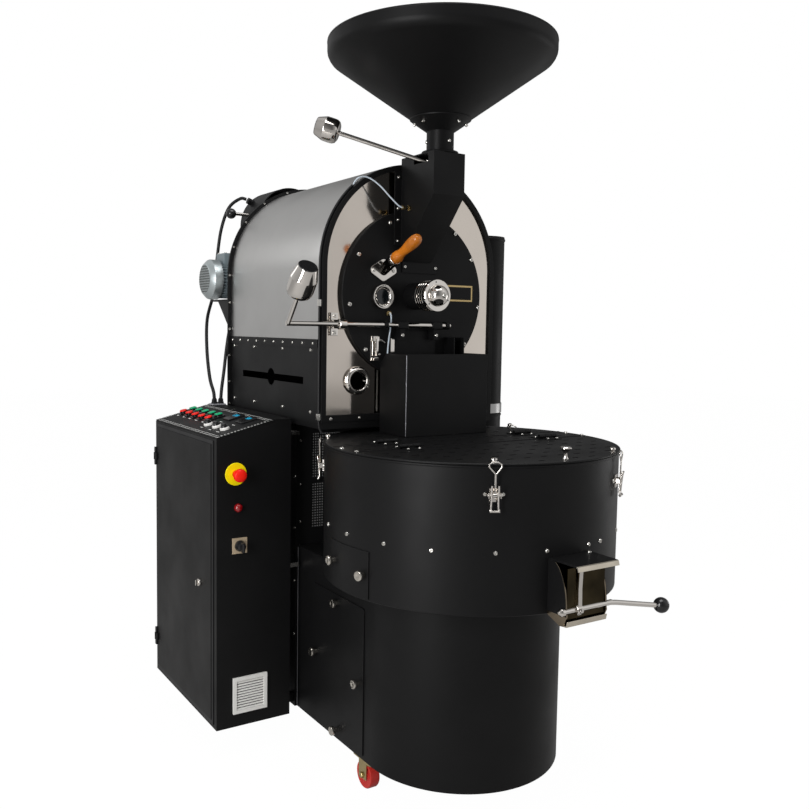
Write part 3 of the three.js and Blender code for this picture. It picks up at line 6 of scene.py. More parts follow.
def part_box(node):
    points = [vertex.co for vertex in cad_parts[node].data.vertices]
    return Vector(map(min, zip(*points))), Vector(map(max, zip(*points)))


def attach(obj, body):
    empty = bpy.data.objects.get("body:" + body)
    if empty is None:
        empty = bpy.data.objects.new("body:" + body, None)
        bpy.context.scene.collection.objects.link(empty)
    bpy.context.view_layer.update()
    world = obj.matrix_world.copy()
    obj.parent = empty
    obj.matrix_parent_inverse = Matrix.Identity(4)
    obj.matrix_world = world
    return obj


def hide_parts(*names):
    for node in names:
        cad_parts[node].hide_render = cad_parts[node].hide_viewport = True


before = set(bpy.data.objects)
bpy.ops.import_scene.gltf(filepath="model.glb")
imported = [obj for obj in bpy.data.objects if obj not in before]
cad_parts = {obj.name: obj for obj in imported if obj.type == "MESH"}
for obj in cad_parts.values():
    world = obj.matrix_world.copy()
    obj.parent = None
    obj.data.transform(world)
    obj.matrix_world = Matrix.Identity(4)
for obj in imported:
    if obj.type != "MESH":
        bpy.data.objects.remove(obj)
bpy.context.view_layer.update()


# The camera stands in front of the machine at its left, a little above the middle of its height,
# and looks slightly down, as in the photograph. Its shift only sets the machine in the frame.
camera_yaw = 31.86
camera_fall = 4.33
camera_roll = 0.80
bpy.ops.object.select_all(action="DESELECT")
bpy.ops.object.camera_add()
camera = bpy.context.object
camera.matrix_world = (
    Matrix.Translation((-1.4632, -2.2861, 1.316))
    @ Matrix.Rotation(radians(-camera_yaw), 4, "Z")
    @ Matrix.Rotation(radians(90 - camera_fall), 4, "X")
    @ Matrix.Rotation(radians(camera_roll), 4, "Z")
)
camera.data.sensor_width = 36
camera.data.lens = 38.715
camera.data.shift_x = 0.0352
camera.data.shift_y = -0.0130
bpy.context.scene.camera = camera
bpy.context.scene.view_settings.view_transform = "Standard"


# A plain pale floor in a white room. Camera, mirror and glass rays see it almost as bright as the
# room, and a share of its own shading is kept, so that the machine's shadow shows.
bpy.ops.mesh.primitive_plane_add(size=30)
floor = bpy.context.object
floor.name = "studio_floor"
floor_paint = bpy.data.materials.new("studio_floor")
floor_paint.use_nodes = True
tree = floor_paint.node_tree
tree.nodes.clear()
seen = tree.nodes.new("ShaderNodeLightPath")
in_mirror = tree.nodes.new("ShaderNodeMath")
in_mirror.operation = "MULTIPLY"
in_mirror.inputs[1].default_value = 0.25
direct = tree.nodes.new("ShaderNodeMath")
direct.operation = "MAXIMUM"
plain_view = tree.nodes.new("ShaderNodeMath")
plain_view.operation = "MAXIMUM"
share = tree.nodes.new("ShaderNodeMath")
share.operation = "MULTIPLY"
share.inputs[1].default_value = 0.95
paint = tree.nodes.new("ShaderNodeBsdfDiffuse")
paint.inputs["Color"].default_value = (0.42, 0.41, 0.40, 1)
glow = tree.nodes.new("ShaderNodeEmission")
glow.inputs["Strength"].default_value = 1.04
blend = tree.nodes.new("ShaderNodeMixShader")
out = tree.nodes.new("ShaderNodeOutputMaterial")
tree.links.new(seen.outputs["Is Glossy Ray"], in_mirror.inputs[0])
tree.links.new(seen.outputs["Is Camera Ray"], direct.inputs[0])
tree.links.new(in_mirror.outputs[0], direct.inputs[1])
tree.links.new(direct.outputs[0], plain_view.inputs[0])
tree.links.new(seen.outputs["Is Transmission Ray"], plain_view.inputs[1])
tree.links.new(plain_view.outputs[0], share.inputs[0])
tree.links.new(share.outputs[0], blend.inputs["Fac"])
tree.links.new(paint.outputs[0], blend.inputs[1])
tree.links.new(glow.outputs[0], blend.inputs[2])
tree.links.new(blend.outputs[0], out.inputs["Surface"])
floor.data.materials.append(floor_paint)

# The room: white to the camera and through glass, a soft grey light on the machine, and to polished
# metal a ring of tones round the horizon, from the left by the front to the right and the back.
room_ring = [(0.0, 0.42), (0.06, 0.55), (0.15, 0.10), (0.27, 0.35), (0.36, 0.80), (0.44, 0.60), (0.52, 0.30),
             (0.60, 0.15), (0.69, 0.16), (0.745, 0.50), (0.80, 0.56), (0.88, 0.54), (1.0, 0.42)]
room = bpy.data.worlds.new("studio_room")
room.use_nodes = True
bpy.context.scene.world = room
tree = room.node_tree
tree.nodes.clear()
seen = tree.nodes.new("ShaderNodeLightPath")
place = tree.nodes.new("ShaderNodeTexCoord")
turn = tree.nodes.new("ShaderNodeTexGradient")
turn.gradient_type = "RADIAL"
ring = tree.nodes.new("ShaderNodeValToRGB")
stops = ring.color_ramp.elements
stops[0].color = (room_ring[0][1],) * 3 + (1,)
stops[1].color = (room_ring[-1][1],) * 3 + (1,)
for position, tone in room_ring[1:-1]:
    stops.new(position).color = (tone, tone, tone, 1)
by_mirror = tree.nodes.new("ShaderNodeMix")
by_mirror.data_type = "RGBA"
by_mirror.inputs["A"].default_value = (0.42, 0.42, 0.42, 1)
plain_view = tree.nodes.new("ShaderNodeMath")
plain_view.operation = "MAXIMUM"
by_view = tree.nodes.new("ShaderNodeMix")
by_view.data_type = "RGBA"
by_view.inputs["B"].default_value = (1, 1, 1, 1)
backdrop = tree.nodes.new("ShaderNodeBackground")
backdrop.inputs["Strength"].default_value = 1.0
out = tree.nodes.new("ShaderNodeOutputWorld")
tree.links.new(place.outputs["Generated"], turn.inputs["Vector"])
tree.links.new(turn.outputs["Fac"], ring.inputs["Fac"])
tree.links.new(seen.outputs["Is Glossy Ray"], by_mirror.inputs["Factor"])
tree.links.new(ring.outputs["Color"], by_mirror.inputs["B"])
tree.links.new(seen.outputs["Is Camera Ray"], plain_view.inputs[0])
tree.links.new(seen.outputs["Is Transmission Ray"], plain_view.inputs[1])
tree.links.new(plain_view.outputs[0], by_view.inputs["Factor"])
tree.links.new(by_mirror.outputs["Result"], by_view.inputs["A"])
tree.links.new(by_view.outputs["Result"], backdrop.inputs["Color"])
tree.links.new(backdrop.outputs[0], out.inputs["Surface"])


# Four soft boxes: a tall one on each side, which draw the bright edges, a wide one overhead and one
# high behind the left side, which the silver wrap and the feed chute reflect.
def soft_box(name, place, aim, width, height, power):
    bpy.ops.object.light_add(type="AREA", location=place)
    lamp = bpy.context.object
    lamp.name = name
    lamp.data.shape = "RECTANGLE"
    lamp.data.size = width
    lamp.data.size_y = height
    lamp.data.energy = power
    lamp.rotation_euler = (Vector(aim) - Vector(place)).to_track_quat("-Z", "Y").to_euler()
    lamp.visible_camera = False


soft_box("left_soft_box", (-3.1, -1.55, 1.4), (0, -0.3, 1.0), 0.7, 2.2, 72)
soft_box("right_soft_box", (3.3, -0.7, 0.9), (0, -0.2, 0.7), 1.0, 1.2, 6)
soft_box("rear_soft_box", (-2.0, 2.3, 2.3), (0, 0, 1.6), 1.0, 0.8, 3)
soft_box("top_soft_box", (-0.2, -0.9, 4.2), (0, 0, 1.0), 2.4, 2.0, 60)


# Places are given from the drum's centre plane, the pedestal's centre and the floor, in mm.
# These first helpers put one piece of sheet, bar or turned metal together and fit it to the machine.
mm = 0.001
centre_plane = 0.0598
pedestal_centre = -0.3051224365


def spot(across, back, up):
    return Vector((centre_plane + across * mm, pedestal_centre + back * mm, up * mm))


def alone(piece):
    bpy.ops.object.select_all(action="DESELECT")
    piece.select_set(True)
    bpy.context.view_layer.objects.active = piece
    return piece


def drawn_line(name, points):
    """A chain of edges through points in mm, drawn by extruding one corner."""
    bpy.ops.object.select_all(action="DESELECT")
    bpy.ops.mesh.primitive_plane_add(size=1)
    piece = bpy.context.object
    piece.name = name
    bpy.ops.object.mode_set(mode="EDIT")
    bpy.ops.mesh.merge(type="CENTER")
    bpy.ops.transform.translate(value=Vector(points[0]) * mm)
    for last, after in zip(points, points[1:]):
        step = (Vector(after) - Vector(last)) * mm
        bpy.ops.mesh.extrude_region_move(TRANSFORM_OT_translate={"value": step})
    bpy.ops.mesh.select_all(action="SELECT")
    return piece


def closed_skin():
    bpy.ops.mesh.select_all(action="SELECT")
    bpy.ops.mesh.remove_doubles(threshold=0.00001)
    bpy.ops.mesh.normals_make_consistent(inside=False)
    bpy.ops.object.mode_set(mode="OBJECT")


def lathe(name, line, foot, along=(0, 0, 1), steps=72):
    """Turned metal: a line of (radius, height) in mm, spun about the axis that leaves foot."""
    piece = drawn_line(name, [(radius, 0, height) for radius, height in line])
    bpy.ops.mesh.spin(steps=steps, angle=2 * pi, center=(0, 0, 0), axis=(0, 0, 1))
    closed_skin()
    piece.rotation_euler = Vector(along).to_track_quat("Z", "Y").to_euler()
    piece.location = foot
    bpy.ops.object.transform_apply()
    return piece


up_facing = Matrix.Identity(4)
front_facing = Matrix(((1, 0, 0, 0), (0, 0, -1, 0), (0, 1, 0, 0), (0, 0, 0, 1)))
side_facing = Matrix(((0, 0, 1, 0), (1, 0, 0, 0), (0, 1, 0, 0), (0, 0, 0, 1)))


def cut_sheet(name, outline, thick, foot, facing=up_facing):
    """Sheet cut to an outline in mm and thickened: up from foot, to the front, or to the right."""
    piece = drawn_line(name, [(a, b, 0) for a, b in outline])
    bpy.ops.mesh.edge_face_add()
    bpy.ops.mesh.extrude_region_move(TRANSFORM_OT_translate={"value": (0, 0, thick * mm)})
    closed_skin()
    piece.matrix_world = Matrix.Translation(foot) @ facing
    bpy.ops.object.transform_apply()
    return piece


def arc(radius, start, stop, count=32, centre=(0, 0)):
    turns = [radians(start + (stop - start) * i / count) for i in range(count + 1)]
    return [(centre[0] + radius * cos(turn), centre[1] + radius * sin(turn)) for turn in turns]


def block(name, low, high, edge=1.0):
    """A solid bar or box between two places in mm, with its edges broken."""
    bpy.ops.object.select_all(action="DESELECT")
    middle = [(a + b) / 2 for a, b in zip(low, high)]
    bpy.ops.mesh.primitive_cube_add(size=1, location=spot(*middle))
    piece = bpy.context.object
    piece.name = name
    piece.scale = [abs(b - a) * mm for a, b in zip(low, high)]
    bpy.ops.object.transform_apply()
    return softened(piece, edge) if edge else piece


def softened(piece, width, segments=2):
    alone(piece)
    bevel = piece.modifiers.new("edge", "BEVEL")
    bevel.width = width * mm
    bevel.segments = segments
    bevel.limit_method = "ANGLE"
    bevel.angle_limit = radians(32)
    bpy.ops.object.modifier_apply(modifier=bevel.name)
    return piece


def cut_out(piece, *tools):
    """Takes the tools' shapes out of a piece and clears the tools away."""
    for tool in tools:
        alone(piece)
        hole = piece.modifiers.new("hole", "BOOLEAN")
        hole.operation = "DIFFERENCE"
        hole.solver = "MANIFOLD"
        hole.object = tool
        bpy.ops.object.modifier_apply(modifier=hole.name)
        bpy.data.objects.remove(tool)
    return piece


def welded(name, *parts):
    """Parts of one finish, joined into one piece."""
    alone(parts[0])
    for part in parts:
        part.select_set(True)
    if len(parts) > 1:
        bpy.ops.object.join()
    piece = bpy.context.object
    piece.name = name
    return piece


def rod(name, places, radius, sides=6):
    """Bent round bar or cable through places, which are already in the frame."""
    bpy.ops.object.select_all(action="DESELECT")
    line = bpy.data.curves.new(name, "CURVE")
    line.dimensions = "3D"
    line.bevel_depth = radius * mm
    line.bevel_resolution = sides
    line.use_fill_caps = True
    run = line.splines.new("POLY")
    run.points.add(len(places) - 1)
    for point, place in zip(run.points, places):
        point.co = (*place, 1)
    piece = bpy.data.objects.new(name, line)
    bpy.context.scene.collection.objects.link(piece)
    alone(piece)
    bpy.ops.object.convert(target="MESH")
    bpy.ops.object.mode_set(mode="EDIT")
    closed_skin()
    return bpy.context.object


def dressed(node, edge=1.0):
    """A copy of a solid of the machine with its corners merged and its edges broken."""
    piece = bpy.data.objects.new(node + "_skin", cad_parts[node].data.copy())
    bpy.context.scene.collection.objects.link(piece)
    alone(piece)
    piece.data.materials.clear()
    bpy.ops.object.mode_set(mode="EDIT")
    bpy.ops.mesh.select_all(action="SELECT")
    bpy.ops.mesh.remove_doubles(threshold=0.00001)
    bpy.ops.mesh.dissolve_limited(angle_limit=radians(0.5))
    bpy.ops.object.mode_set(mode="OBJECT")
    return softened(piece, edge) if edge else piece


def fitted(piece, material, body, slot, *nodes):
    """Shades a finished piece, paints it and fits it to the body that carries it."""
    alone(piece)
    bpy.ops.object.shade_smooth_by_angle(angle=radians(38))
    flats = piece.modifiers.new("flats", "WEIGHTED_NORMAL")
    flats.keep_sharp = True
    bpy.ops.object.modifier_apply(modifier=flats.name)
    piece.data.materials.clear()
    piece.data.materials.append(material)
    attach(piece, body)
    if nodes:
        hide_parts(*nodes)
    return piece


def finish(name, colour, roughness, metallic=0.0, specular=0.5, shade=0.75, patch=7.0, spread=0.05,
           grain=700.0, depth=0.08, stretch=(1, 1, 1)):
    """A finish with slow patches in its tone and gloss, and a fine grain that may be drawn out."""
    material = bpy.data.materials.new(name)
    material.use_nodes = True
    tree = material.node_tree
    shader = tree.nodes["Principled BSDF"]
    shader.inputs["Metallic"].default_value = metallic
    shader.inputs["Specular IOR Level"].default_value = specular
    place = tree.nodes.new("ShaderNodeTexCoord")
    patches = tree.nodes.new("ShaderNodeTexNoise")
    patches.inputs["Scale"].default_value = patch
    patches.inputs["Detail"].default_value = 4
    tones = tree.nodes.new("ShaderNodeValToRGB")
    tones.color_ramp.elements[0].position = 0.3
    tones.color_ramp.elements[0].color = (*[part * shade for part in colour], 1)
    tones.color_ramp.elements[1].position = 0.65
    tones.color_ramp.elements[1].color = (*colour, 1)
    gloss = tree.nodes.new("ShaderNodeMapRange")
    gloss.inputs["From Min"].default_value = 0.3
    gloss.inputs["From Max"].default_value = 0.7
    gloss.inputs["To Min"].default_value = roughness + spread
    gloss.inputs["To Max"].default_value = max(0.01, roughness - spread)
    pull = tree.nodes.new("ShaderNodeMapping")
    pull.inputs["Scale"].default_value = stretch
    fine = tree.nodes.new("ShaderNodeTexNoise")
    fine.inputs["Scale"].default_value = grain
    fine.inputs["Detail"].default_value = 2
    relief = tree.nodes.new("ShaderNodeBump")
    relief.inputs["Strength"].default_value = depth
    relief.inputs["Distance"].default_value = 0.001
    tree.links.new(place.outputs["Object"], patches.inputs["Vector"])
    tree.links.new(patches.outputs["Fac"], tones.inputs["Fac"])
    tree.links.new(tones.outputs["Color"], shader.inputs["Base Color"])
    tree.links.new(patches.outputs["Fac"], gloss.inputs["Value"])
    tree.links.new(gloss.outputs["Result"], shader.inputs["Roughness"])
    tree.links.new(place.outputs["Object"], pull.inputs["Vector"])
    tree.links.new(pull.outputs["Vector"], fine.inputs["Vector"])
    tree.links.new(fine.outputs["Fac"], relief.inputs["Height"])
    tree.links.new(relief.outputs["Normal"], shader.inputs["Normal"])
    return material


# Casters: zinc-plated forks with red wheels on a bearing hub. The front pair swivel under the
# pedestal and the rear pair are welded under the base. All four are bought in.
zinc = finish("yellow_zinc", (0.62, 0.50, 0.25), 0.30, metallic=1.0, shade=0.8, patch=30)
wheel_red = finish("red_wheel", (0.62, 0.03, 0.022), 0.45, shade=0.85, patch=25)
tread_line = [(9, -14), (14, -16), (22, -13), (29, -13), (32, -15), (38, -15), (40, -12), (40, 12), (38, 15),
              (32, 15), (29, 13), (22, 13), (14, 16), (9, 14), (9, -14)]
hub_line = [(5.6, -16.4), (11, -16.4), (12, -13), (12, 13), (11, 16.4), (5.6, 16.4), (5.6, -16.4)]
for end in ("front", "rear"):
    for side in ("left", "right"):
        node = f"caster_wheel_{end}_{side}"
        low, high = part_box(node)
        middle = (low + high) / 2
        fitted(lathe(f"tyre_{end}_{side}", tread_line, middle, (1, 0, 0)), wheel_red, node, "wheel_red", node)
        fitted(lathe(f"wheel_bearing_{end}_{side}", hub_line, middle, (1, 0, 0), 24), zinc, node, "zinc")
for side in ("left", "right"):
    node = f"caster_fork_{side}"
    low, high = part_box(node)
    race = lathe("swivel_race", [(0, 0), (24, 0), (27, 4), (27, 9), (22, 12), (0, 12), (0, 0)],
                 Vector(((low.x + high.x) / 2, low.y + 32 * mm, high.z - 19 * mm)), steps=32)
    axle_nuts = []
    for way in (-1, 1):
        nut_line = [(0, 0), (9, 0), (9, 5), (6.5, 7), (0, 7), (0, 0)]
        place = Vector(((low.x + high.x) / 2 + way * 20.6 * mm, low.y + 60 * mm, 40 * mm))
        axle_nuts.append(lathe("axle_nut", nut_line, place, (way, 0, 0), 6))
    fork = welded(f"fork_{side}", dressed(node, 1.5), race, *axle_nuts)
    fitted(fork, zinc, node, "zinc", node)


# Base: a welded sheet housing on the rear casters, powder coated black, with two windows in its
# front that are closed by one perforated sheet, and welded brackets that hold the cabinet.
black_coat = finish("black_powder_coat", (0.0062, 0.0062, 0.0065), 0.43, specular=0.16, grain=900, depth=0.12)
fitted(dressed("base_housing", 1.5), black_coat, "machine", "black_coat", "base_housing")


def perforated(name, colour, pitch, gloss=0.5, metallic=0.0, faces="XZ", hole=0.0004, reach=0.30):
    """A sheet finish with a square field of round holes, drawn in its tone and its relief. The holes are not cut: their
    flat tone is painted shade seen through them when dark, and painted light seen through them when light.
    """
    material = finish(name, colour, gloss, metallic=metallic, specular=0.3)
    tree = material.node_tree
    shader = tree.nodes["Principled BSDF"]
    tones = tree.nodes["Color Ramp"]
    place = tree.nodes["Texture Coordinate"]
    split = tree.nodes.new("ShaderNodeSeparateXYZ")
    flat = tree.nodes.new("ShaderNodeCombineXYZ")
    field = tree.nodes.new("ShaderNodeTexVoronoi")
    field.voronoi_dimensions = "2D"
    field.inputs["Randomness"].default_value = 0.0
    field.inputs["Scale"].default_value = 1000 / pitch
    edge = tree.nodes.new("ShaderNodeMapRange")
    edge.inputs["From Min"].default_value = reach - 0.03
    edge.inputs["From Max"].default_value = reach + 0.03
    shaded = tree.nodes.new("ShaderNodeMix")
    shaded.data_type = "RGBA"
    shaded.inputs["A"].default_value = (hole, hole, hole, 1)
    tree.links.new(place.outputs["Object"], split.inputs[0])
    tree.links.new(split.outputs[faces[0]], flat.inputs["X"])
    tree.links.new(split.outputs[faces[1]], flat.inputs["Y"])
    tree.links.new(flat.outputs[0], field.inputs["Vector"])
    tree.links.new(field.outputs["Distance"], edge.inputs["Value"])
    tree.links.new(edge.outputs["Result"], shaded.inputs["Factor"])
    tree.links.new(tones.outputs["Color"], shaded.inputs["B"])
    tree.links.new(shaded.outputs["Result"], shader.inputs["Base Color"])
    relief = tree.nodes["Bump"]
    relief.inputs["Strength"].default_value = 0.6
    tree.links.new(edge.outputs["Result"], relief.inputs["Height"])
    return material


# Painted light: the holes are a light grey, for light seen through them from inside the base, on a black sheet.
window_mesh = perforated("perforated_window", (0.004, 0.004, 0.004), 8.5, hole=0.24, reach=0.24)
fitted(dressed("front_mesh_panel", 0.5), window_mesh, "machine", "iron", "front_mesh_panel")


def heads(name, seats, radius=5.5, proud=3.2):
    """Button-head screws: one is turned with a shallow socket in its top, and copied to each seat."""
    line = [(0, 0.3 * proud), (0.4 * radius, 0.3 * proud), (0.42 * radius, proud), (0.72 * radius, 0.96 * proud),
            (0.95 * radius, 0.5 * proud), (radius, -0.4), (0, -0.4)]
    first = lathe(name, line, (0, 0, 0), steps=12)
    copies = []
    for place, way in seats:
        head = bpy.data.objects.new(name, first.data.copy())
        bpy.context.scene.collection.objects.link(head)
        turn = Vector(way).to_track_quat("Z", "Y").to_matrix().to_4x4()
        head.data.transform(Matrix.Translation(place) @ turn)
        copies.append(head)
    bpy.data.objects.remove(first)
    return welded(name, *copies)


zinc_screw = finish("bright_screw", (0.74, 0.72, 0.68), 0.22, metallic=1.0, shade=0.85, patch=60, spread=0.08)
post_screws = [(spot(side * 286, 456, z), (0, -1, 0)) for side in (-1, 1) for z in (130, 330, 530, 700, 820, 960)]
rear_screws = [(spot(side * 270, 945, z), (0, 1, 0)) for side in (-1, 1) for z in (140, 420, 700, 970)]
fitted(heads("base_screws", post_screws + rear_screws, 4.5, 2.6), zinc_screw, "machine", "chrome")
bridge_seats = [(spot(-318, 429.4, z), (0, -1, 0)) for z in (853, 690, 522, 351)]
fitted(heads("bridge_screws", bridge_seats, 4, 2.6), zinc_screw, "machine", "chrome")
bridges = [block("bridge", (-337, 431, z - 7), (-301, 434, z + 7), 0.8) for z in (988, 571)]
fitted(welded("cabinet_bridges", *bridges), zinc_screw, "machine", "steel")


# Pedestal: one sheet rolled to a U, 4 mm thick, with a floor and a roof welded in, powder coated.
# The stirrer's motor hangs inside, behind a door that four thumb screws hold at the left.
pedestal_radius = 292
pedestal_back = 455.7


def u_line(radius, back):
    return [(-radius, back)] + arc(radius, 180, 360, 72) + [(radius, back)]


u_wall = cut_sheet("pedestal_wall", u_line(pedestal_radius, pedestal_back) + u_line(288, pedestal_back)[::-1],
                   525.7, spot(0, 0, 100))
u_floor = cut_sheet("pedestal_floor", u_line(289, pedestal_back - 1), 4, spot(0, 0, 100.4))
u_roof = cut_sheet("pedestal_roof", u_line(289, pedestal_back - 1), 4, spot(0, 0, 621.2))
pedestal = softened(welded("pedestal", u_wall, u_floor, u_roof), 1.2)
fitted(pedestal, black_coat, "machine", "black_coat", "pedestal_shell")
# Painted highlight: a lighter grey metal rod down the pedestal's rear left edge, where that edge catches the light.
painted_edge_highlight = finish("painted_highlight_edge", (0.26, 0.26, 0.28), 0.34, metallic=1.0)
rear_edge = rod("rear_edge", [spot(-292, 455, 104), spot(-292, 455, 618), spot(-286, 455, 625)], 1.8)
fitted(rear_edge, painted_edge_highlight, "machine", "black_coat")


def rounded(low, high, radius, count=6):
    """A rectangle's outline with round corners."""
    (left, foot), (right, top) = low, high
    turn = []
    for start, x, y in ((180, left + radius, foot + radius), (270, right - radius, foot + radius),
                        (0, right - radius, top - radius), (90, left + radius, top - radius)):
        turn += arc(radius, start, start + 90, count, (x, y))
    return turn


door_sheet = softened(cut_sheet("door_sheet", rounded((42, 110), (342, 536), 8), 3, spot(-295.3, 0, 0), side_facing), 0.9)
fitted(door_sheet, black_coat, "machine", "black_coat", "access_door")
thumb_line = [(0, 0), (7, 0), (7, 9), (12, 11), (13.5, 13), (13.5, 19), (12, 21.5), (8, 22.4), (5, 21), (0, 21), (0, 0)]
nickel = finish("nickel_thumb_screw", (0.66, 0.62, 0.56), 0.20, metallic=1.0, shade=0.9, patch=40)
knobs = [lathe("thumb_screw", thumb_line, spot(-295, y, z), (-1, 0, 0), 32)
         for y, z in ((193, 513), (322, 326), (66, 316), (190, 130))]
fitted(welded("pedestal_thumb_screws", *knobs), nickel, "machine", "chrome")


# Cooling bin: a rolled and welded sheet drum with a turned-over rim, set a little in front of the
# pedestal's centre. Beans cool on a perforated floor, which screws round the wall hold, and drop
# through a channel at the front to the spout.
bin_radius = 411
bin_back = -36
bin_foot = spot(0, bin_back, 0)
wall_line = [(18.6, 626), (409, 626), (bin_radius, 628), (bin_radius, 987), (412.6, 989), (412.6, 992.5), (411, 994),
             (408, 994), (407, 992), (407, 630), (18.6, 630), (18.6, 626)]
bin_wall = lathe("bin_wall", wall_line, bin_foot, steps=144)
mouth = block("mouth", (-62, -470, 634), (66, -375, 762), 0)
bin_wall = cut_out(bin_wall, mouth)
fitted(bin_wall, black_coat, "machine", "black_coat", "cooling_bin")


def round_bin(degrees, up, out=0.0):
    """A seat on the bin's wall, degrees from its front to the right, and the way it faces."""
    way = Vector((sin(radians(degrees)), -cos(radians(degrees)), 0))
    return bin_foot + Vector(((bin_radius + out) * way.x, (bin_radius + out) * way.y, up)) * mm, way


wall_turns = [-104, -87, -68, -50, -28.5, -10, 17, 37.5, 56, 75, 94, 113, 132, 151, 170, 189, 208, 227]
fitted(heads("bin_wall_screws", [round_bin(turn, 783) for turn in wall_turns], 6, 3.4), zinc_screw, "machine", "chrome")

brown_sheet = finish("tarnished_stainless", (0.27, 0.22, 0.16), 0.20, metallic=1.0, shade=0.7, patch=14,
                     grain=300, depth=0.015, stretch=(1, 1, 0.05))
# Painted shade: the floor's holes are near black, for the shade seen through them below the floor.
cooling_mesh = perforated("cooling_floor", (0.5, 0.49, 0.47), 7, 0.35, 1.0, "XY")
floor_ring = lathe("cooling_floor", [(18.6, 779), (407, 779), (407, 782), (18.6, 782), (18.6, 779)], bin_foot, steps=96)
floor_ring = cut_out(floor_ring, block("drop", (-62, -460, 770), (66, -379, 790), 0))
fitted(floor_ring, cooling_mesh, "machine", "stainless")


# Spout: two cheeks of tarnished sheet under a black roof whose front lip is turned down and left
# bare, with a bare pan between them. It is screwed to the bin's wall round the opening.
spout_left = -66
spout_right = 70
roof_up = 766
cheek = [(-440, 766), (-449, 765)] + [(-449 - 56 * sin(radians(t)), 766 - 118 * (1 - cos(radians(t))))
                                      for t in range(6, 91, 7)] + [(-508, 636), (-497, 611), (-484, 609), (-440, 627)]
cheeks = [cut_sheet("cheek", cheek, 4, spot(x, 0, 0), side_facing) for x in (spout_left, spout_right - 4)]
spout = softened(welded("spout", *cheeks), 0.6, 1)
shaft_hole = lathe("shaft_hole", [(0, -20), (8.6, -20), (8.6, 190), (0, 190), (0, -20)], spot(-80, -500, 648), (1, 0, 0), 24)
fitted(cut_out(spout, shaft_hole), brown_sheet, "machine", "stainless")
bare_sheet = finish("bare_sheet_edge", (0.66, 0.60, 0.50), 0.24, metallic=1.0, shade=0.85, patch=20)
pan = cut_sheet("pan", [(-440, 627), (-440, 630), (-484, 613), (-505, 614), (-508, 625), (-510, 625), (-507, 611),
                        (-484, 609)], 133, spot(spout_left + 1, 0, 0), side_facing)
lip = cut_sheet("lip", [(-536, 766.6), (-540, 765), (-543, 754), (-541, 753.4), (-538, 762), (-534, 763)], 137,
                spot(spout_left - 1, 0, 0), side_facing)
fitted(softened(welded("spout_lips", pan, lip), 0.5, 1), bare_sheet, "machine", "stainless")
roof = cut_sheet("roof", [(-437, 762), (-437, 766.6), (-536, 766.6), (-536, 762.8)], 137, spot(spout_left - 1, 0, 0),
                 side_facing)
channel_walls = [block("channel_wall", low, high, 0) for low, high in (
    ((-66, -441, 630), (-62, -375, 779)), ((66, -441, 630), (70, -375, 779)), ((-66, -379, 630), (70, -375, 779)))]
skin = [(y, z) for y, z in cheek if z > 640] + [(-506, 636), (-440, 636)]
cheek_skins = [cut_sheet("cheek_skin", skin, 0.6, spot(x, 0, 0), side_facing)
               for x in (spout_left - 0.7, spout_right + 0.1)]
hood = softened(welded("spout_roof", roof, *channel_walls, *cheek_skins), 0.5, 1)
fitted(hood, black_coat, "machine", "black_coat")
fitted(heads("spout_screws", [round_bin(9.5, 783, -0.5), (spot(60, -452, 767), (0, -0.3, 1))], 5.5, 3.2), zinc_screw,
       "machine", "chrome")


# Bin gate: a bright flap on a polished shaft through both cheeks. A strap clamped on the shaft
# carries the flap, and the crank outside ends in a black ball.
chrome = finish("polished_chrome", (0.72, 0.685, 0.645), 0.07, metallic=1.0, shade=0.97, spread=0.03,
                grain=500, depth=0.004)
gate_shaft = rod("gate_shaft", [spot(-80, -500, 648), spot(92, -500, 648)], 7)
crank = rod("crank", [spot(84, -500, 648), spot(104, -503, 646), spot(222, -527, 627)], 6.4)
# Painted shade: the bright flap is coloured near-black brown for the dark inside the spout that it reflects.
flap_painted_shade = finish("flap_painted_shade_brown", (0.055, 0.042, 0.022), 0.16, metallic=1.0, shade=0.35, patch=11, depth=0.01)
fitted(softened(block("gate_flap", (-60, -502, 628), (64, -499, 752), 0), 0.6), flap_painted_shade, "bin_gate", "chrome")
strap = cut_sheet("strap", [(-508, 636), (-496, 636), (-494, 660), (-503, 700), (-506, 748), (-511, 748), (-509, 700),
                            (-510, 660)], 12, spot(-30, 0, 0), side_facing)
clamp = lathe("clamp", [(7.2, 0), (12, 0), (13, 1), (13, 17), (12, 18), (7.2, 18), (7.2, 0)], spot(-33, -500, 648), (1, 0, 0), 32)
collar = lathe("collar", [(0, 0), (4, 0), (9, 5), (10, 7), (10, 15), (0, 15), (0, 0)], spot(-84, -500, 648), (1, 0, 0), 24)
clamp_bolt = lathe("clamp_bolt", [(0, 0), (6, 0), (6, 5), (4, 6.5), (0, 6.5), (0, 0)], spot(-24, -512, 648), (0, -1, 0), 6)
gate = softened(welded("gate", gate_shaft, crank, strap, clamp, collar, clamp_bolt), 0.4, 1)
fitted(gate, chrome, "bin_gate", "chrome", "bin_gate")
black_plastic = finish("black_plastic", (0.012, 0.012, 0.013), 0.16, specular=0.5, depth=0.02)
ball_line = [(0, -19.4), (8, -18.4)] + [(20 * cos(radians(a)), 20 * sin(radians(a))) for a in range(-60, 90, 10)] + [(0, 20)]
ball = lathe("gate_ball", ball_line, spot(240, -530, 625), (0.98, -0.18, -0.1), 48)
fitted(ball, black_plastic, "bin_gate", "black_plastic")


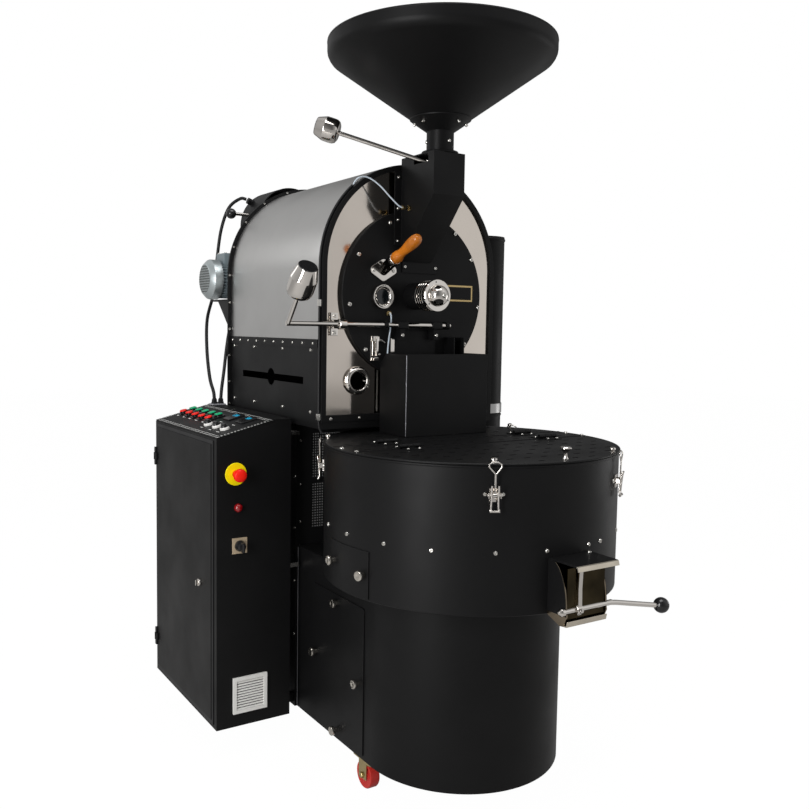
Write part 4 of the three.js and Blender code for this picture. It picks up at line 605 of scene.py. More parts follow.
# Hatch: a curved plate with a narrow gap round it, held over the cleaning opening at the bin's
# left by two thumb screws, and coated with the bin.
hatch_line = [(411.3, 631), (413.2, 631), (414.3, 632), (414.3, 753), (413.2, 754), (411.3, 754), (411.3, 631)]
hatch = lathe("hatch", hatch_line, bin_foot, steps=144)
wedge = cut_sheet("wedge", [(0, 0), (-102, -460), (-500, -460), (-500, 500), (500, 500), (500, -460), (102, -460)],
                  200, (0, 0, 600 * mm))
wedge.data.transform(Matrix.Translation(bin_foot) @ Matrix.Rotation(radians(-87), 4, "Z"))
hatch = softened(cut_out(hatch, wedge), 0.5, 1)
fitted(hatch, black_coat, "machine", "black_coat", "bin_hatch")
hatch_knobs = [lathe("hatch_knob", thumb_line, round_bin(turn, z, 2)[0], round_bin(turn, z)[1], 32)
               for turn, z in ((-77, 692), (-96, 700))]
fitted(welded("hatch_thumb_screws", *hatch_knobs), nickel, "machine", "chrome")


# Lid latches: a chrome wire loop hooks a small catch on the lid and swings down from a pin between
# two ears on the bin's wall. The hand frame hangs under the pin, and two screws hold each bracket.
for number, turn in ((1, -29.5), (2, 31), (3, -123), (4, 123)):
    around = Matrix.Translation(bin_foot) @ Matrix.Rotation(radians(turn), 4, "Z")
    local = lambda x, out, z: around @ Vector((x * mm, -(bin_radius + out) * mm, z * mm))
    nodes = [f"lid_latch_{number}"] if number < 4 else []
    body = nodes[0] if nodes else "machine"
    wires = [
        rod("loop", [local(0, 13, 930), local(0, 14, 977), local(-15, 14, 993), local(-15, 13, 999), local(-7, 11, 1004),
                     local(7, 11, 1004), local(15, 13, 999), local(15, 14, 993), local(1, 14, 975), local(1.5, 13, 930)], 2),
        rod("pivot", [local(-5, 12, 925), local(5, 12, 925)], 5),
    ]
    fitted(welded(f"latch_{number}", *wires), chrome, body, "chrome", *nodes)
    frame_bars = [
        rod("left_side", [local(-8, 20, 950), local(-9, 17, 938), local(-8, 15, 918), local(-9, 13, 893)], 2.4),
        rod("right_side", [local(8, 20, 950), local(9, 17, 938), local(8, 15, 918), local(9, 13, 893)], 2.4),
        rod("thumb_bar", [local(-10, 14, 891), local(-10, 17, 887), local(10, 17, 887), local(10, 14, 891)], 3.6),
    ]
    plate = block("bracket", (-12, -bin_radius - 4, 908), (12, -bin_radius + 2, 942), 1)
    ears = [block("ear", (x, -bin_radius - 16, 918), (x + 3, -bin_radius - 2, 932), 0.8) for x in (-16, 13)]
    pin = rod("pin", [spot(-18, -bin_radius - 12, 925), spot(18, -bin_radius - 12, 925)], 3)
    bracket = welded(f"latch_bracket_{number}", plate, *ears, pin)
    bracket.data.transform(around @ Matrix.Translation(-spot(0, 0, 0)))
    fitted(welded(f"latch_bracket_{number}", bracket, *frame_bars), chrome, "machine", "chrome")
    catch_line = [(0, -0.5), (8, -0.5), (8, 1), (4, 2), (4, 4), (7.4, 6), (8, 9), (6.5, 12), (3, 13.6), (0, 14)]
    catch = lathe("catch", catch_line, local(0, -9, 999.3), steps=24)
    rider = "machine" if number > 2 else "lid_flap"
    fitted(catch, chrome, rider, "chrome").name = f"latch_catch_{number}"
    seats = [(local(x, 0, z), (sin(radians(turn)), -cos(radians(turn)), 0)) for x, z in ((-22, 926), (22, 926))]
    fitted(heads(f"latch_screws_{number}", seats, 5.5, 3.6), zinc_screw, "machine", "chrome")


# Lid: a flat disc of 5 mm sheet with folded seams, pierced with rows of short slots. The rear half
# carries the chute guard, and the front half lifts on two hinges.
def slot_cutters(rows, columns, keep):
    """Short round-ended slots on the lid's grid, where keep says that the sheet is free."""
    ends = arc(3.4, 90, 270, 6, (-8, 0)) + arc(3.4, -90, 90, 6, (8, 0))
    first = cut_sheet("slot", ends, 14, (0, 0, 0))
    copies = []
    for back in rows:
        for across in columns:
            if keep(across, back):
                hole = bpy.data.objects.new("slot", first.data.copy())
                bpy.context.scene.collection.objects.link(hole)
                hole.data.transform(Matrix.Translation(spot(across, back, 990)))
                copies.append(hole)
    bpy.data.objects.remove(first)
    return welded("slots", *copies)


seam_front = -84
seam_rear = 28
hinge_xs = (-238, 252)
columns = [-405 + 56.5 * i for i in range(15)]


def lid_free(across, back):
    """Whether the lid's sheet is clear of its rim, hinges, seams and knob and of the chute's guard."""
    near_hinge = min(abs(across - x) for x in hinge_xs) < 40 and min(abs(back - seam_front), abs(back - seam_rear)) < 32
    at_knob = hypot(across - 7, back + 413) < 24
    under_guard = -140 < across < 196 and back > 84
    return hypot(across, back - bin_back) < 390 and not (near_hinge or at_knob or under_guard)


lid_line = [(0, 994.3), (412.6, 994.3), (414, 995.4), (414, 998), (412.6, 999.3), (0, 999.3)]
lid_disc = lathe("lid_disc", lid_line, bin_foot, steps=144)
rear_disc = bpy.data.objects.new("rear_disc", lid_disc.data.copy())
bpy.context.scene.collection.objects.link(rear_disc)
flap_rows = [-408 + 53.5 * i for i in range(6)]
flap_half = cut_out(lid_disc, block("rear_side", (-470, seam_front - 1, 980), (470, 470, 1010), 0),
                    slot_cutters(flap_rows, columns, lid_free))
knuckles = []
for x in hinge_xs:
    knuckles.append(lathe("knuckle", [(3.8, -10.7), (6, -10.7), (6, 10.7), (3.8, 10.7), (3.8, -10.7)],
                          spot(x, seam_front, 1006.3), (1, 0, 0), 24))
    knuckles.append(block("hinge_leaf", (x - 26, seam_front - 34, 999), (x + 26, seam_front - 5, 1001.6), 0.6))
    knuckles.append(block("hinge_tongue", (x - 10.5, seam_front - 14, 1000), (x + 10.5, seam_front - 2, 1004), 0.5))
flap_fold = block("flap_fold", (-405, seam_front - 3.4, 999), (405, seam_front - 1.2, 1000.6), 0.4)
flap = welded("lid_front", flap_half, flap_fold, *knuckles)
fitted(flap, black_coat, "lid_flap", "black_coat", "lid_flap")
hinge_seats = [(spot(x + dx, seam_front - 22, 1001.6), (0, 0, 1)) for x in hinge_xs for dx in (-18, 18)]
fitted(heads("flap_hinge_screws", hinge_seats, 4, 2.2), zinc_screw, "lid_flap", "chrome")
knob_line = [(0, -1), (7.5, -1), (6.5, 2), (5.4, 6), (5.4, 15), (7.5, 20), (12, 23.5), (14.3, 26), (14.3, 28.6),
             (12.4, 30.4), (6, 31), (0, 31)]
fitted(lathe("lid_knob", knob_line, spot(7, -413, 999.3), steps=40), chrome, "lid_flap", "chrome")

rear_rows = [-52, -2, 56, 109.5, 163, 216.5, 270, 323.5]
beans = block("beans", (-119, 111, 980), (175, 253, 1010), 0)
rear_half = cut_out(rear_disc, block("front_side", (-470, -470, 980), (470, seam_front, 1010), 0), beans,
                    slot_cutters(rear_rows, columns, lid_free))
rear_parts = [block("fold", (-405, y, 999), (405, y + 2.2, 1000.6), 0.4)
              for y in (seam_front + 0.4, seam_rear - 3, seam_rear + 0.8)]
for x in hinge_xs:
    for y in (seam_front, seam_rear):
        for side in (-1, 1):
            rear_parts.append(lathe("knuckle", [(3, -10.5), (6, -10.5), (6, 10.5), (3, 10.5), (3, -10.5)],
                                    spot(x + side * 22.3, y, 1006.3), (1, 0, 0), 24))
            rear_parts.append(block("hinge_tongue", (x + side * 12, y + 1, 1000), (x + side * 32, y + 14, 1004), 0.5))
        rear_parts.append(rod("hinge_pin", [spot(x - 34, y, 1006.3), spot(x + 34, y, 1006.3)], 3))
        rear_parts.append(block("hinge_leaf", (x - 33, y + 5, 999), (x + 33, y + 34, 1001.6), 0.6))
    rear_parts.append(block("hinge_leaf", (x - 26, seam_rear - 34, 999), (x + 26, seam_rear - 5, 1001.6), 0.6))
    rear_parts.append(lathe("knuckle", [(3.8, -10.7), (6, -10.7), (6, 10.7), (3.8, 10.7), (3.8, -10.7)],
                            spot(x, seam_rear, 1006.3), (1, 0, 0), 24))
    rear_parts.append(block("hinge_tongue", (x - 10.5, seam_rear - 14, 1000), (x + 10.5, seam_rear - 2, 1004), 0.5))
rear_lid = welded("lid_rear", rear_half, *rear_parts)
fitted(rear_lid, black_coat, "machine", "black_coat", "bin_lid")
hinge_seats = [(spot(x + dx, y + 24, 1001.6), (0, 0, 1)) for x in hinge_xs for y in (seam_front, seam_rear)
               for dx in (-24, 0, 24)]
hinge_seats += [(spot(x + dx, seam_rear - 22, 1001.6), (0, 0, 1)) for x in hinge_xs for dx in (-18, 18)]
rim_seats = [(round_bin(turn, 999.3, -10)[0], (0, 0, 1)) for turn in (-94, -83.5, 84, 94)]
fitted(heads("rear_hinge_screws", hinge_seats, 4, 2.2), zinc_screw, "machine", "chrome")
fitted(heads("lid_rim_screws", rim_seats, 6, 4), zinc_screw, "machine", "chrome")


# Stirrer: a machined shaft and hub with four raised arms and blades just over the floor, driven
# by a painted gear motor that is bolted under the pedestal's roof.
machined_steel = finish("machined_steel", (0.47, 0.465, 0.46), 0.32, metallic=1.0, shade=0.85)
motor_paint = finish("motor_paint", (0.20, 0.245, 0.265), 0.34, shade=0.85, depth=0.15)
fitted(dressed("agitator", 1.2), machined_steel, "agitator", "steel", "agitator")
fitted(dressed("agitator_motor", 2), motor_paint, "machine", "motor_paint", "agitator_motor")


# Burner housing: a deck and two side panels of black coated sheet, each with a long air slot and a
# round eye. A riveted strip along each top edge takes the wrap, and screws hold the panels.
fitted(dressed("burner_housing", 1.2), black_coat, "machine", "black_coat", "burner_housing")
rivets = [(spot(side * 321, 312 + 68 * i, 1268), (side, 0, 0)) for side in (-1, 1) for i in range(10)]
fitted(heads("strip_rivets", rivets, 4.2, 2.4), zinc_screw, "machine", "chrome")
side_screws = [(spot(side * 318, y, z), (side, 0, 0)) for side in (-1, 1) for z in (1248, 1062)
               for y in (330, 522, 742, 912)]
fitted(heads("side_panel_screws", side_screws, 5.5, 3.4), zinc_screw, "machine", "chrome")


# Burner tray: a pressed steel tray on the deck with five round burner tubes across two bearers.
fitted(dressed("burner_tray", 0.8), machined_steel, "machine", "steel", "burner_tray")


# Barrel wrap: one silver sheet, 3 mm thick, rolled over the drum and down to the riveted strips.
silver_sheet = finish("silver_wrap", (0.56, 0.555, 0.545), 0.34, metallic=1.0, shade=0.96, grain=320,
                      depth=0.02, stretch=(1, 0.04, 1))
arch_middle = 1496


def arch(radius, foot):
    """The outline of an arch from its left foot, over the top, to its right foot."""
    return [(-radius, foot)] + arc(radius, 180, 0, 96, (0, arch_middle)) + [(radius, foot)]


wrap = cut_sheet("wrap", arch(318, 1280.3) + arch(315, 1280.3)[::-1], 660.4, spot(0, 944.7, 0), front_facing)
fitted(softened(wrap, 0.5, 1), silver_sheet, "machine", "silver_sheet", "barrel_wrap")


# Front band: a black arch with a strip across its foot that frames the front. A sheathed sensor line
# lies along its outer edge under two bright clips and runs out at the foot.
band = cut_sheet("band", arch(318, 1036.3), 24, spot(0, 284, 0), front_facing)
band = cut_out(band, cut_sheet("band_inside", arch(302, 1057.3), 60, spot(0, 300, 0), front_facing))
fitted(softened(band, 2.2, 3), black_coat, "machine", "black_coat", "front_band")
cable_sheath = finish("cable_sheath", (0.012, 0.012, 0.013), 0.45, specular=0.3)
line_turns = [132 + 3 * i for i in range(17)]
sensor_line = [spot(321.5 * cos(radians(t)), 271, arch_middle + 321.5 * sin(radians(t))) for t in line_turns]
sensor_line += [spot(-321.5, 271, 1060), spot(-321.5, 271, 1040), spot(-319, 270, 1020), spot(-312, 268, 1004)]
fitted(rod("sensor_line", sensor_line, 3.6, 3), cable_sheath, "machine", "cable_sheath")
clips = [block("clip", (-327, 264, z - 10), (-317.5, 278, z + 10), 1.4) for z in (1387, 1052)]
fitted(welded("line_clips", *clips), zinc_screw, "machine", "chrome")
foot_screws = [(spot(x, 260, 1046.5), (0, -1, 0)) for x in (-287, -188, -62, 62, 188, 287)]
fitted(heads("band_screws", foot_screws, 5.5, 3.4), zinc_screw, "machine", "chrome")


# Front plate: mirror-polished stainless behind the band, open behind the face disc, with a turned
# peep port into the burner housing and a polished bearing for the discharge lever.
mirror_steel = finish("mirror_stainless", (0.66, 0.60, 0.54), 0.10, metallic=1.0, shade=0.95, spread=0.03,
                      grain=260, depth=0.01)
port = (-196, 1158)
mirror = cut_sheet("mirror_plate", arch(301.7, 1057.6), 5, spot(0, 273, 0), front_facing)
disc_space = lathe("disc_space", [(0, -40), (240, -40), (240, 40), (0, 40), (0, -40)], spot(0, 270, 1418), (0, 1, 0), 96)
port_bore = lathe("port_bore", [(0, -40), (27, -40), (27, 40), (0, 40), (0, -40)], spot(port[0], 270, port[1]),
                  (0, 1, 0), 48)
fitted(cut_out(mirror, disc_space, port_bore), mirror_steel, "machine", "stainless", "front_plate")
chrome_ring = [(27, 0), (43, 0), (43, 6), (41.5, 10), (38, 14), (34, 16), (30, 16), (28, 14.5), (27, 12), (27, 0)]
port_ring = lathe("port_ring", chrome_ring, spot(port[0], 268, port[1]), (0, -1, 0), 64)
bearing_back = block("bearing_back", (-290, 259, 1292), (-266, 268, 1360), 1.2)
bearing_web = block("bearing_web", (-286, 222, 1313), (-270, 262, 1339), 1.5)
bearing_eye = lathe("bearing_eye", [(7.7, -12), (13.5, -12), (15, -10.5), (15, 10.5), (13.5, 12), (7.7, 12), (7.7, -12)],
                    spot(-278, 215, 1326), (1, 0, 0), 40)
web_bore = lathe("web_bore", [(0, -30), (8.5, -30), (8.5, 30), (0, 30), (0, -30)], spot(-278, 215, 1326), (1, 0, 0), 32)
bearing = welded("plate_fittings", port_ring, bearing_back, cut_out(bearing_web, web_bore), bearing_eye)
fitted(bearing, chrome, "machine", "chrome")
port_seats = [(spot(port[0] + 38 * cos(radians(t)), 254.5, port[1] + 38 * sin(radians(t))), (0, -1, 0))
              for t in (90, 210, 330)]
bearing_seats = [(spot(-278, 259, z), (0, -1, 0)) for z in (1301, 1350)]
fitted(heads("plate_screws", port_seats, 3.2, 2), zinc_screw, "machine", "chrome")
fitted(heads("bearing_screws", bearing_seats, 6, 3.6), zinc_screw, "machine", "chrome")


# Face disc: a thick cast disc, turned and coated black, bolted over the drum's mouth. It carries
# the door's two lever ears, two cheeks beside the door and the openings for feed, door and sight.
disc_line = [(0, 0), (239, 0), (239, 16.3), (257, 16.3), (257, 29), (255, 31), (0, 31), (0, 0)]
disc = lathe("face_disc", disc_line, spot(0, 284, 1418), (0, -1, 0), 144)


def borer(radius, foot, along, length=160):
    """A plain round cutter that starts at foot, in the frame, and runs along a way."""
    return lathe("borer", [(0, 0), (radius, 0), (radius, length), (0, length), (0, 0)], foot, along, 40)


trier_way = Vector((0, -cos(radians(23.8)), sin(radians(23.8))))
trier_foot = spot(-117, 253, 1490)
disc = cut_out(disc, borer(22.6, spot(0, 200, 1415), (0, 1, 0)), borer(22, spot(-119, 200, 1411), (0, 1, 0)),
               borer(14, trier_foot - trier_way * 80 * mm, trier_way),
               block("door_way", (-64, 200, 1218), (64, 330, 1298), 0),
               block("feed_way", (-47.5, 200, 1532), (47.5, 330, 1615), 0))
ears = []
for x in (97, -128):
    outline = [(254, 1314), (215, 1314)] + arc(12, 270, 90, 16, (215, 1326)) + [(254, 1338)]
    ear = cut_sheet("ear", outline, 10, spot(x - 5, 0, 0), side_facing)
    ears.append(softened(cut_out(ear, borer(7.7, spot(x - 20, 215, 1326), (1, 0, 0), 40)), 0.8))
cheeks = [block("door_cheek", (x - 2, 203, 1200), (x + 2, 254, 1290), 0.7) for x in (120, 157)]
fitted(welded("face_casting", disc, *ears, *cheeks), black_coat, "machine", "black_coat", "face_disc")
disc_bolts = [(-93, 1633), (-201, 1533), (-231, 1385), (-174, 1251), (150, 1616), (217, 1538), (248, 1386), (196, 1268)]
disc_seats = [(spot(x, 253, z), (0, -1, 0)) for x, z in disc_bolts]
fitted(heads("face_bolts", disc_seats, 7.5, 4.4), zinc_screw, "machine", "chrome")


# Name plate: a thin black plate with a brass border, left bare, screwed to the disc beside the hub.
brass = finish("brass", (0.56, 0.42, 0.20), 0.25, metallic=1.0, shade=0.9, patch=40)
brass_border = block("brass_border", (65, 250.6, 1404), (223, 253, 1455), 0.6)
fitted(brass_border, brass, "machine", "chrome")
fitted(block("plate_field", (70.5, 249.9, 1409.5), (217.5, 251, 1449.5), 0.3), black_coat, "machine", "black_coat")


# Hub: the drum's front bearing stands out from the disc on a black boss with four polished cooling
# rings, closed by a polished flange and a spun dome that one socket screw holds.
boss_line = [(22.6, 0), (41, 0), (41, 60), (39, 62.5), (22.6, 62.5), (22.6, 0)]
groove_line = [(22.6, 62), (37, 62), (37, 113), (22.6, 113), (22.6, 62)]
hub_foot = spot(0, 252.7, 1415)
hub_boss = welded("hub_boss", lathe("boss", boss_line, hub_foot, (0, -1, 0), 64),
                  lathe("grooves", groove_line, hub_foot, (0, -1, 0), 64))
fitted(hub_boss, black_coat, "machine", "black_coat", "hub_housing")
rings = []
for i in range(4):
    low = 65 + 11 * i
    ring_line = [(36, low), (44, low), (45, low + 0.8), (45, low + 2.2), (44, low + 3), (36, low + 3), (36, low)]
    rings.append(lathe("cooling_ring", ring_line, hub_foot, (0, -1, 0), 72))
flange_line = [(23, 112.7), (46.5, 112.7), (47.5, 113.7), (47.5, 121.5), (46.5, 122.7), (33, 122.7), (32.4, 124)]
dome_line = flange_line + [(32 * cos(radians(a)), 124.7 + 30 * sin(radians(a))) for a in range(4, 86, 6)] + \
    [(0, 154.7), (0, 112.7), (23, 112.7)]
rings.append(lathe("hub_dome", dome_line, hub_foot, (0, -1, 0), 72))
fitted(welded("hub_polished", *rings), chrome, "machine", "chrome")
hub_seats = [(spot(40 * cos(radians(t)), 130, 1415 + 40 * sin(radians(t))), (0, -1, 0)) for t in (100, 220, 340)]
fitted(heads("flange_screws", hub_seats, 2.4, 0.6), black_plastic, "machine", "black_plastic")
fitted(heads("dome_screw", [(spot(0, 98.2, 1415), (0, -1, 0))], 8, 4.5), zinc_screw, "machine", "chrome")


# Sight glass: a dark heat-proof pane in a polished ring that three pairs of small screws hold.
sight_foot = spot(-119, 252.7, 1411)
sight_ring = [(22.3, 0), (37, 0), (37, 11), (35.4, 13.7), (30, 13.7), (24.5, 10), (22.3, 5), (22.3, 0)]
fitted(lathe("sight_ring", sight_ring, sight_foot, (0, -1, 0), 72), chrome, "machine", "chrome", "sight_glass")
dark_glass = finish("smoked_glass", (0.006, 0.008, 0.009), 0.05, specular=0.6, depth=0.0)
fitted(lathe("sight_pane", [(0, -2), (22, -2), (22, 4), (0, 4), (0, -2)], sight_foot, (0, -1, 0), 48), dark_glass,
       "machine", "black_plastic")
sight_seats = [(spot(-119 + 33 * cos(radians(t)), 239.2, 1411 + 33 * sin(radians(t))), (0, -1, 0))
               for t in (85, 97, 205, 217, 325, 337)]
fitted(heads("sight_screws", sight_seats, 1.8, 0.5), black_plastic, "machine", "black_plastic")


# Trier: a polished flange and tube slope out of the disc and guide the sampling scoop, which ends
# in a chrome ferrule and a turned handle of lacquered wood.
diamond = arc(15, 140, 220, 8, (-31, 0)) + arc(16, 245, 295, 8, (0, -17)) + arc(15, -40, 40, 8, (31, 0)) + \
    arc(16, 65, 115, 8, (0, 17))
diamond = [(-117 + x, 1490 + z) for x, z in diamond]
trier_flange = cut_sheet("trier_flange", diamond, 5.7, spot(0, 252.7, 0), front_facing)
trier_bore = borer(13.6, trier_foot - trier_way * 80 * mm, trier_way)
trier_flange = softened(cut_out(trier_flange, trier_bore), 1.4)
sleeve_line = [(13.4, -9), (17, -9), (17, 61), (16, 62), (13.4, 62), (13.4, -9)]
trier_sleeve = lathe("trier_sleeve", sleeve_line, trier_foot, trier_way, 48)
behind = block("behind", (-180, 252.7, 1430), (-50, 320, 1560), 0)
trier_sleeve = cut_out(trier_sleeve, behind)
# Painted reflection: the polished sleeve is coloured near black for the dark that it reflects.
sleeve_painted_dark_reflection = finish("tube_painted_dark_reflection", (0.10, 0.095, 0.09), 0.10, metallic=1.0, shade=0.6, patch=30, depth=0.01)
fitted(trier_sleeve, sleeve_painted_dark_reflection, "machine", "chrome")
fitted(trier_flange, chrome, "machine", "chrome", "trier_socket")
flange_seats = [(spot(-117 + x, 247, 1490 + z), (0, -1, 0)) for x, z in ((-34, 0), (34, 0))]
fitted(heads("trier_screws", flange_seats, 6, 3.6), zinc_screw, "machine", "chrome")
scoop = lathe("scoop", [(0, -90), (12, -90), (12, 70), (0, 70), (0, -90)], trier_foot, trier_way, 32)
scoop = cut_out(scoop, block("scoop_way", (-126, 280, 1410), (-108, 330, 1480), 0))
ferrule = lathe("ferrule", [(0, 62.4), (17, 62.4), (19, 63.8), (19, 74), (17.5, 76), (0, 76), (0, 62.4)], trier_foot,
                trier_way, 48)
fitted(welded("trier_scoop", scoop, ferrule), chrome, "trier", "chrome", "trier")
lacquered_wood = finish("lacquered_wood", (0.74, 0.22, 0.018), 0.16, shade=0.6, patch=22, stretch=(1, 1, 0.2))
handle_line = [(0, 75.5), (15, 75.5), (17, 78), (18, 84), (18, 90), (16.4, 98), (14, 106), (13, 114), (13.2, 124),
               (14.4, 137), (16, 150), (17.4, 163), (18, 176), (17.6, 187), (16, 196), (13, 203), (8, 207), (0, 208),
               (0, 75.5)]
fitted(lathe("trier_handle", handle_line, trier_foot, trier_way, 64), lacquered_wood, "trier", "wood")


# Discharge door: a black leaf over the opening, hung by two straps and clamps on a polished rod
# that runs across the front. The arm at the left ends in a big turned knob with a black cap.
lever_axis = lambda x: spot(x, 215, 1326)
lever_rod = rod("lever_rod", [lever_axis(-450), lever_axis(109)], 7, 8)
lever_arm = rod("lever_arm", [spot(-456, 215, 1326), spot(-449, 215, 1326)], 7, 8)
lever_elbow = rod("lever_elbow", [spot(-450, 215, 1326), spot(-450, 154, 1404)], 7, 8)
knob_way = Vector((0, -68, 87)).normalized()


def faced_knob(name, radius, length, foot, way):
    """A polished barrel knob with a rounded foot and a broad chamfer up to a flat black cap."""
    barrel = [(0, 0), (0.3 * radius, 0), (0.66 * radius, 0.02 * length), (0.87 * radius, 0.08 * length),
              (0.97 * radius, 0.17 * length), (radius, 0.26 * length), (radius, 0.60 * length),
              (0.99 * radius, 0.62 * length), (0.74 * radius, 0.965 * length), (0.71 * radius, 0.975 * length),
              (0, 0.975 * length), (0, 0)]
    cap = [(0, 0.97 * length), (0.70 * radius, 0.97 * length), (0.70 * radius, 0.99 * length),
           (0.68 * radius, length), (0, length), (0, 0.97 * length)]
    return (lathe(name, barrel, foot, way, 72), lathe(f"{name}_cap", cap, foot, way, 72))


door_knob, door_cap = faced_knob("door_knob", 38.5, 100, spot(-450, 156.6, 1400.2), knob_way)
fitted(welded("discharge_lever", lever_rod, lever_arm, lever_elbow, door_knob), chrome, "discharge_door", "chrome",
       "discharge_door")
fitted(door_cap, black_plastic, "discharge_door", "black_plastic")
leaf = block("leaf", (-76, 244.7, 1200), (76, 252.7, 1310), 1.4)
straps = [block("strap", (low, 217, 1282), (high, 246, 1317), 1) for low, high in ((-74, -58), (50, 68))]
clamps = []
for low, high in ((-86, -50), (38, 76)):
    clamps.append(block("clamp", (low, 204, 1315), (high, 226, 1337), 4))
fitted(welded("discharge_leaf", leaf, *straps, *clamps), black_coat, "discharge_door", "black_coat")
strap_seats = [(spot(x, 217, 1296), (0, -1, 0)) for x in (-66, 59)]
fitted(heads("strap_screws", strap_seats, 6.2, 3.8), zinc_screw, "discharge_door", "chrome")


# Toggle latch: a small chrome over-centre latch on the disc keeps the leaf shut. Its base plate is
# screwed at the leaf's left, and a chrome keeper plate stands on the leaf's edge.
toggle = [
    block("toggle_base", (-158, 249.5, 1218), (-132, 253, 1292), 0.8),
    block("toggle_ear", (-156, 238, 1276), (-134, 250, 1291), 1.5),
    block("toggle_lever", (-149, 233, 1232), (-140, 246, 1288), 2.5),
    block("toggle_hook", (-155, 236, 1218), (-137, 250, 1228), 2),
]
toggle.append(rod("toggle_wire", [spot(-134, 240, 1283), spot(-124, 241, 1279), spot(-112, 243, 1272)], 2.2, 4))
fitted(welded("toggle_latch", *toggle), chrome, "machine", "chrome")
fitted(heads("toggle_screws", [(spot(-123, 253, 1279), (0, -1, 0)), (spot(-126, 253, 1236), (0, -1, 0))], 4.6, 3),
       zinc_screw, "machine", "chrome")
keeper = block("keeper", (-92, 241, 1232), (-78.5, 244.5, 1286), 0.8)
fitted(keeper, chrome, "discharge_door", "chrome")


# Chute guard: a folded front and two sides of 3 mm sheet, open behind, that stand on the lid and lead
# the beans from the door into the bin. The left side is cut off at a slope behind, beside the leaf.
fitted(dressed("chute_guard", 1.2), black_coat, "machine", "black_coat", "chute_guard")
low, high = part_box("chute_guard")
edge_ends = [Vector((low.x + 0.7 * mm, low.y + 0.7 * mm, up)) for up in (low.z + 3 * mm, high.z - 3 * mm)]
# Painted highlight: a lighter grey metal rod down the guard's front left corner, where that edge catches the light.
corner_edge = rod("guard_edge", edge_ends, 1.3)
fitted(corner_edge, painted_edge_highlight, "machine", "black_coat")


# Feed chute: a welded sheet box whose front slopes back to the disc, with a flange down its left
# side and one under its foot. Socket screws hold both, and a sensor fitting stands on the left.
fitted(softened(dressed("feed_chute", 0), 1.4, 3), black_coat, "machine", "black_coat", "feed_chute")
chute_seats = [(spot(-68, 248.7, z), (0, -1, 0)) for z in (1770, 1677, 1643, 1580)]
chute_seats += [(spot(x, 248.7, 1504), (0, -1, 0)) for x in (-40, 74)]
fitted(heads("chute_screws", chute_seats, 5.5, 3.4), zinc_screw, "machine", "chrome")
fitting_line = [(0, 0), (8.5, 0), (8.5, 6), (6.5, 6.5), (6.5, 11), (5, 11.6), (5, 22), (7, 22.6), (7, 27), (0, 27), (0, 0)]
fitting_parts = [lathe("fitting", fitting_line, spot(-55.4, 204.7, 1674), (-1, 0, 0), 6)]
fitting_parts.append(lathe("fitting_low", [(0, 0), (8, 0), (8, 5), (6, 6), (6, 11), (0, 11), (0, 0)],
                           spot(-96, 253, 1361), (0, -1, 0), 6))
fitted(welded("sensor_fittings", *fitting_parts), brass, "machine", "chrome")


# Hopper: a spun cone on a short neck, 3 mm thick, with a straight band and a rolled edge at its top.
# A collar cone is bolted round its foot, and the neck's flange sits on the chute.
hopper_foot = spot(0, 133, 0)
hopper_line = [(36, 1826.3), (54, 1826.3), (54, 1831), (53, 1832.3), (41, 1832.3), (40, 1834), (40, 1893),
               (317, 2087), (324, 2092), (329, 2099), (332, 2106), (333, 2113), (333, 2140), (330, 2140), (330, 2114),
               (329, 2107), (326, 2101), (321, 2094.5), (315, 2090), (36, 1894.4), (36, 1826.3)]
hopper_skin = lathe("hopper_cone", hopper_line, hopper_foot, steps=144)
collar_line = [(40, 1890), (41, 1890), (90, 1924.3), (90.6, 1927), (88, 1927), (40, 1893.4), (40, 1890)]
collar = lathe("hopper_collar", collar_line, hopper_foot, steps=96)
edge_line = [(330 + 3.6 * cos(radians(t)), 2136.2 + 3.6 * sin(radians(t))) for t in range(0, 361, 30)]
rolled_edge = lathe("rolled_edge", edge_line, hopper_foot, steps=144)
fitted(welded("hopper_skin", hopper_skin, collar, rolled_edge), black_coat, "machine", "black_coat", "hopper")
cone_seats = []
for turn in (-122, -76, 8, 55, 125, 175):
    way = Vector((sin(radians(turn)), -cos(radians(turn)), 0))
    cone_seats.append((spot(74 * way.x, 133 + 74 * way.y, 1913), way * 0.57 + Vector((0, 0, -0.82))))
fitted(heads("collar_bolts", cone_seats, 5, 7), zinc_screw, "machine", "chrome")
neck_seats = []
for turn in (-112, 4, 120):
    way = Vector((sin(radians(turn)), -cos(radians(turn)), 0))
    neck_seats.append((spot(40 * way.x, 133 + 40 * way.y, 1860), way))
fitted(heads("neck_screws", neck_seats, 5.5, 4), zinc_screw, "machine", "chrome")


# Feed gate: a half disc on a pin inside the chute shuts the hopper's neck. Its polished rod comes
# out through a slot at the left and ends in the same kind of knob as the discharge lever.
rod_root = spot(0, 133, 1792)
rod_end = spot(-280.15, 329.16, 1902)
rod_way = (rod_end - rod_root).normalized()
rod_length = (rod_end - rod_root).length
gate_plate = lathe("gate_plate", [(0, -3), (43, -3), (43, 3), (0, 3), (0, -3)], spot(0, 133, 1782), steps=64)
sector = cut_sheet("sector", [(0, 0), (63, -14.3), (63, 53)], 30, spot(0, 133, 1767))
gate_hub = lathe("gate_hub", [(5.8, -5), (12, -5), (12, 18), (0, 18), (0, 7), (5.8, 7), (5.8, -5)], spot(0, 133, 1782),
                 steps=40)
gate_plate = cut_out(gate_plate, sector, borer(5.8, spot(0, 133, 1750), (0, 0, 1)))
gate_rod = rod("gate_rod", [rod_root + rod_way * 13 * mm, rod_root + rod_way * rod_length * 0.9], 6.5, 8)
feed_knob, feed_cap = faced_knob("feed_knob", 36, 71.8, rod_root + rod_way * rod_length * 0.87, rod_way)
fitted(welded("feed_gate", gate_plate, gate_hub, gate_rod, feed_knob), chrome, "feed_lever", "chrome",
       "feed_lever")
fitted(feed_cap, black_plastic, "feed_lever", "black_plastic")


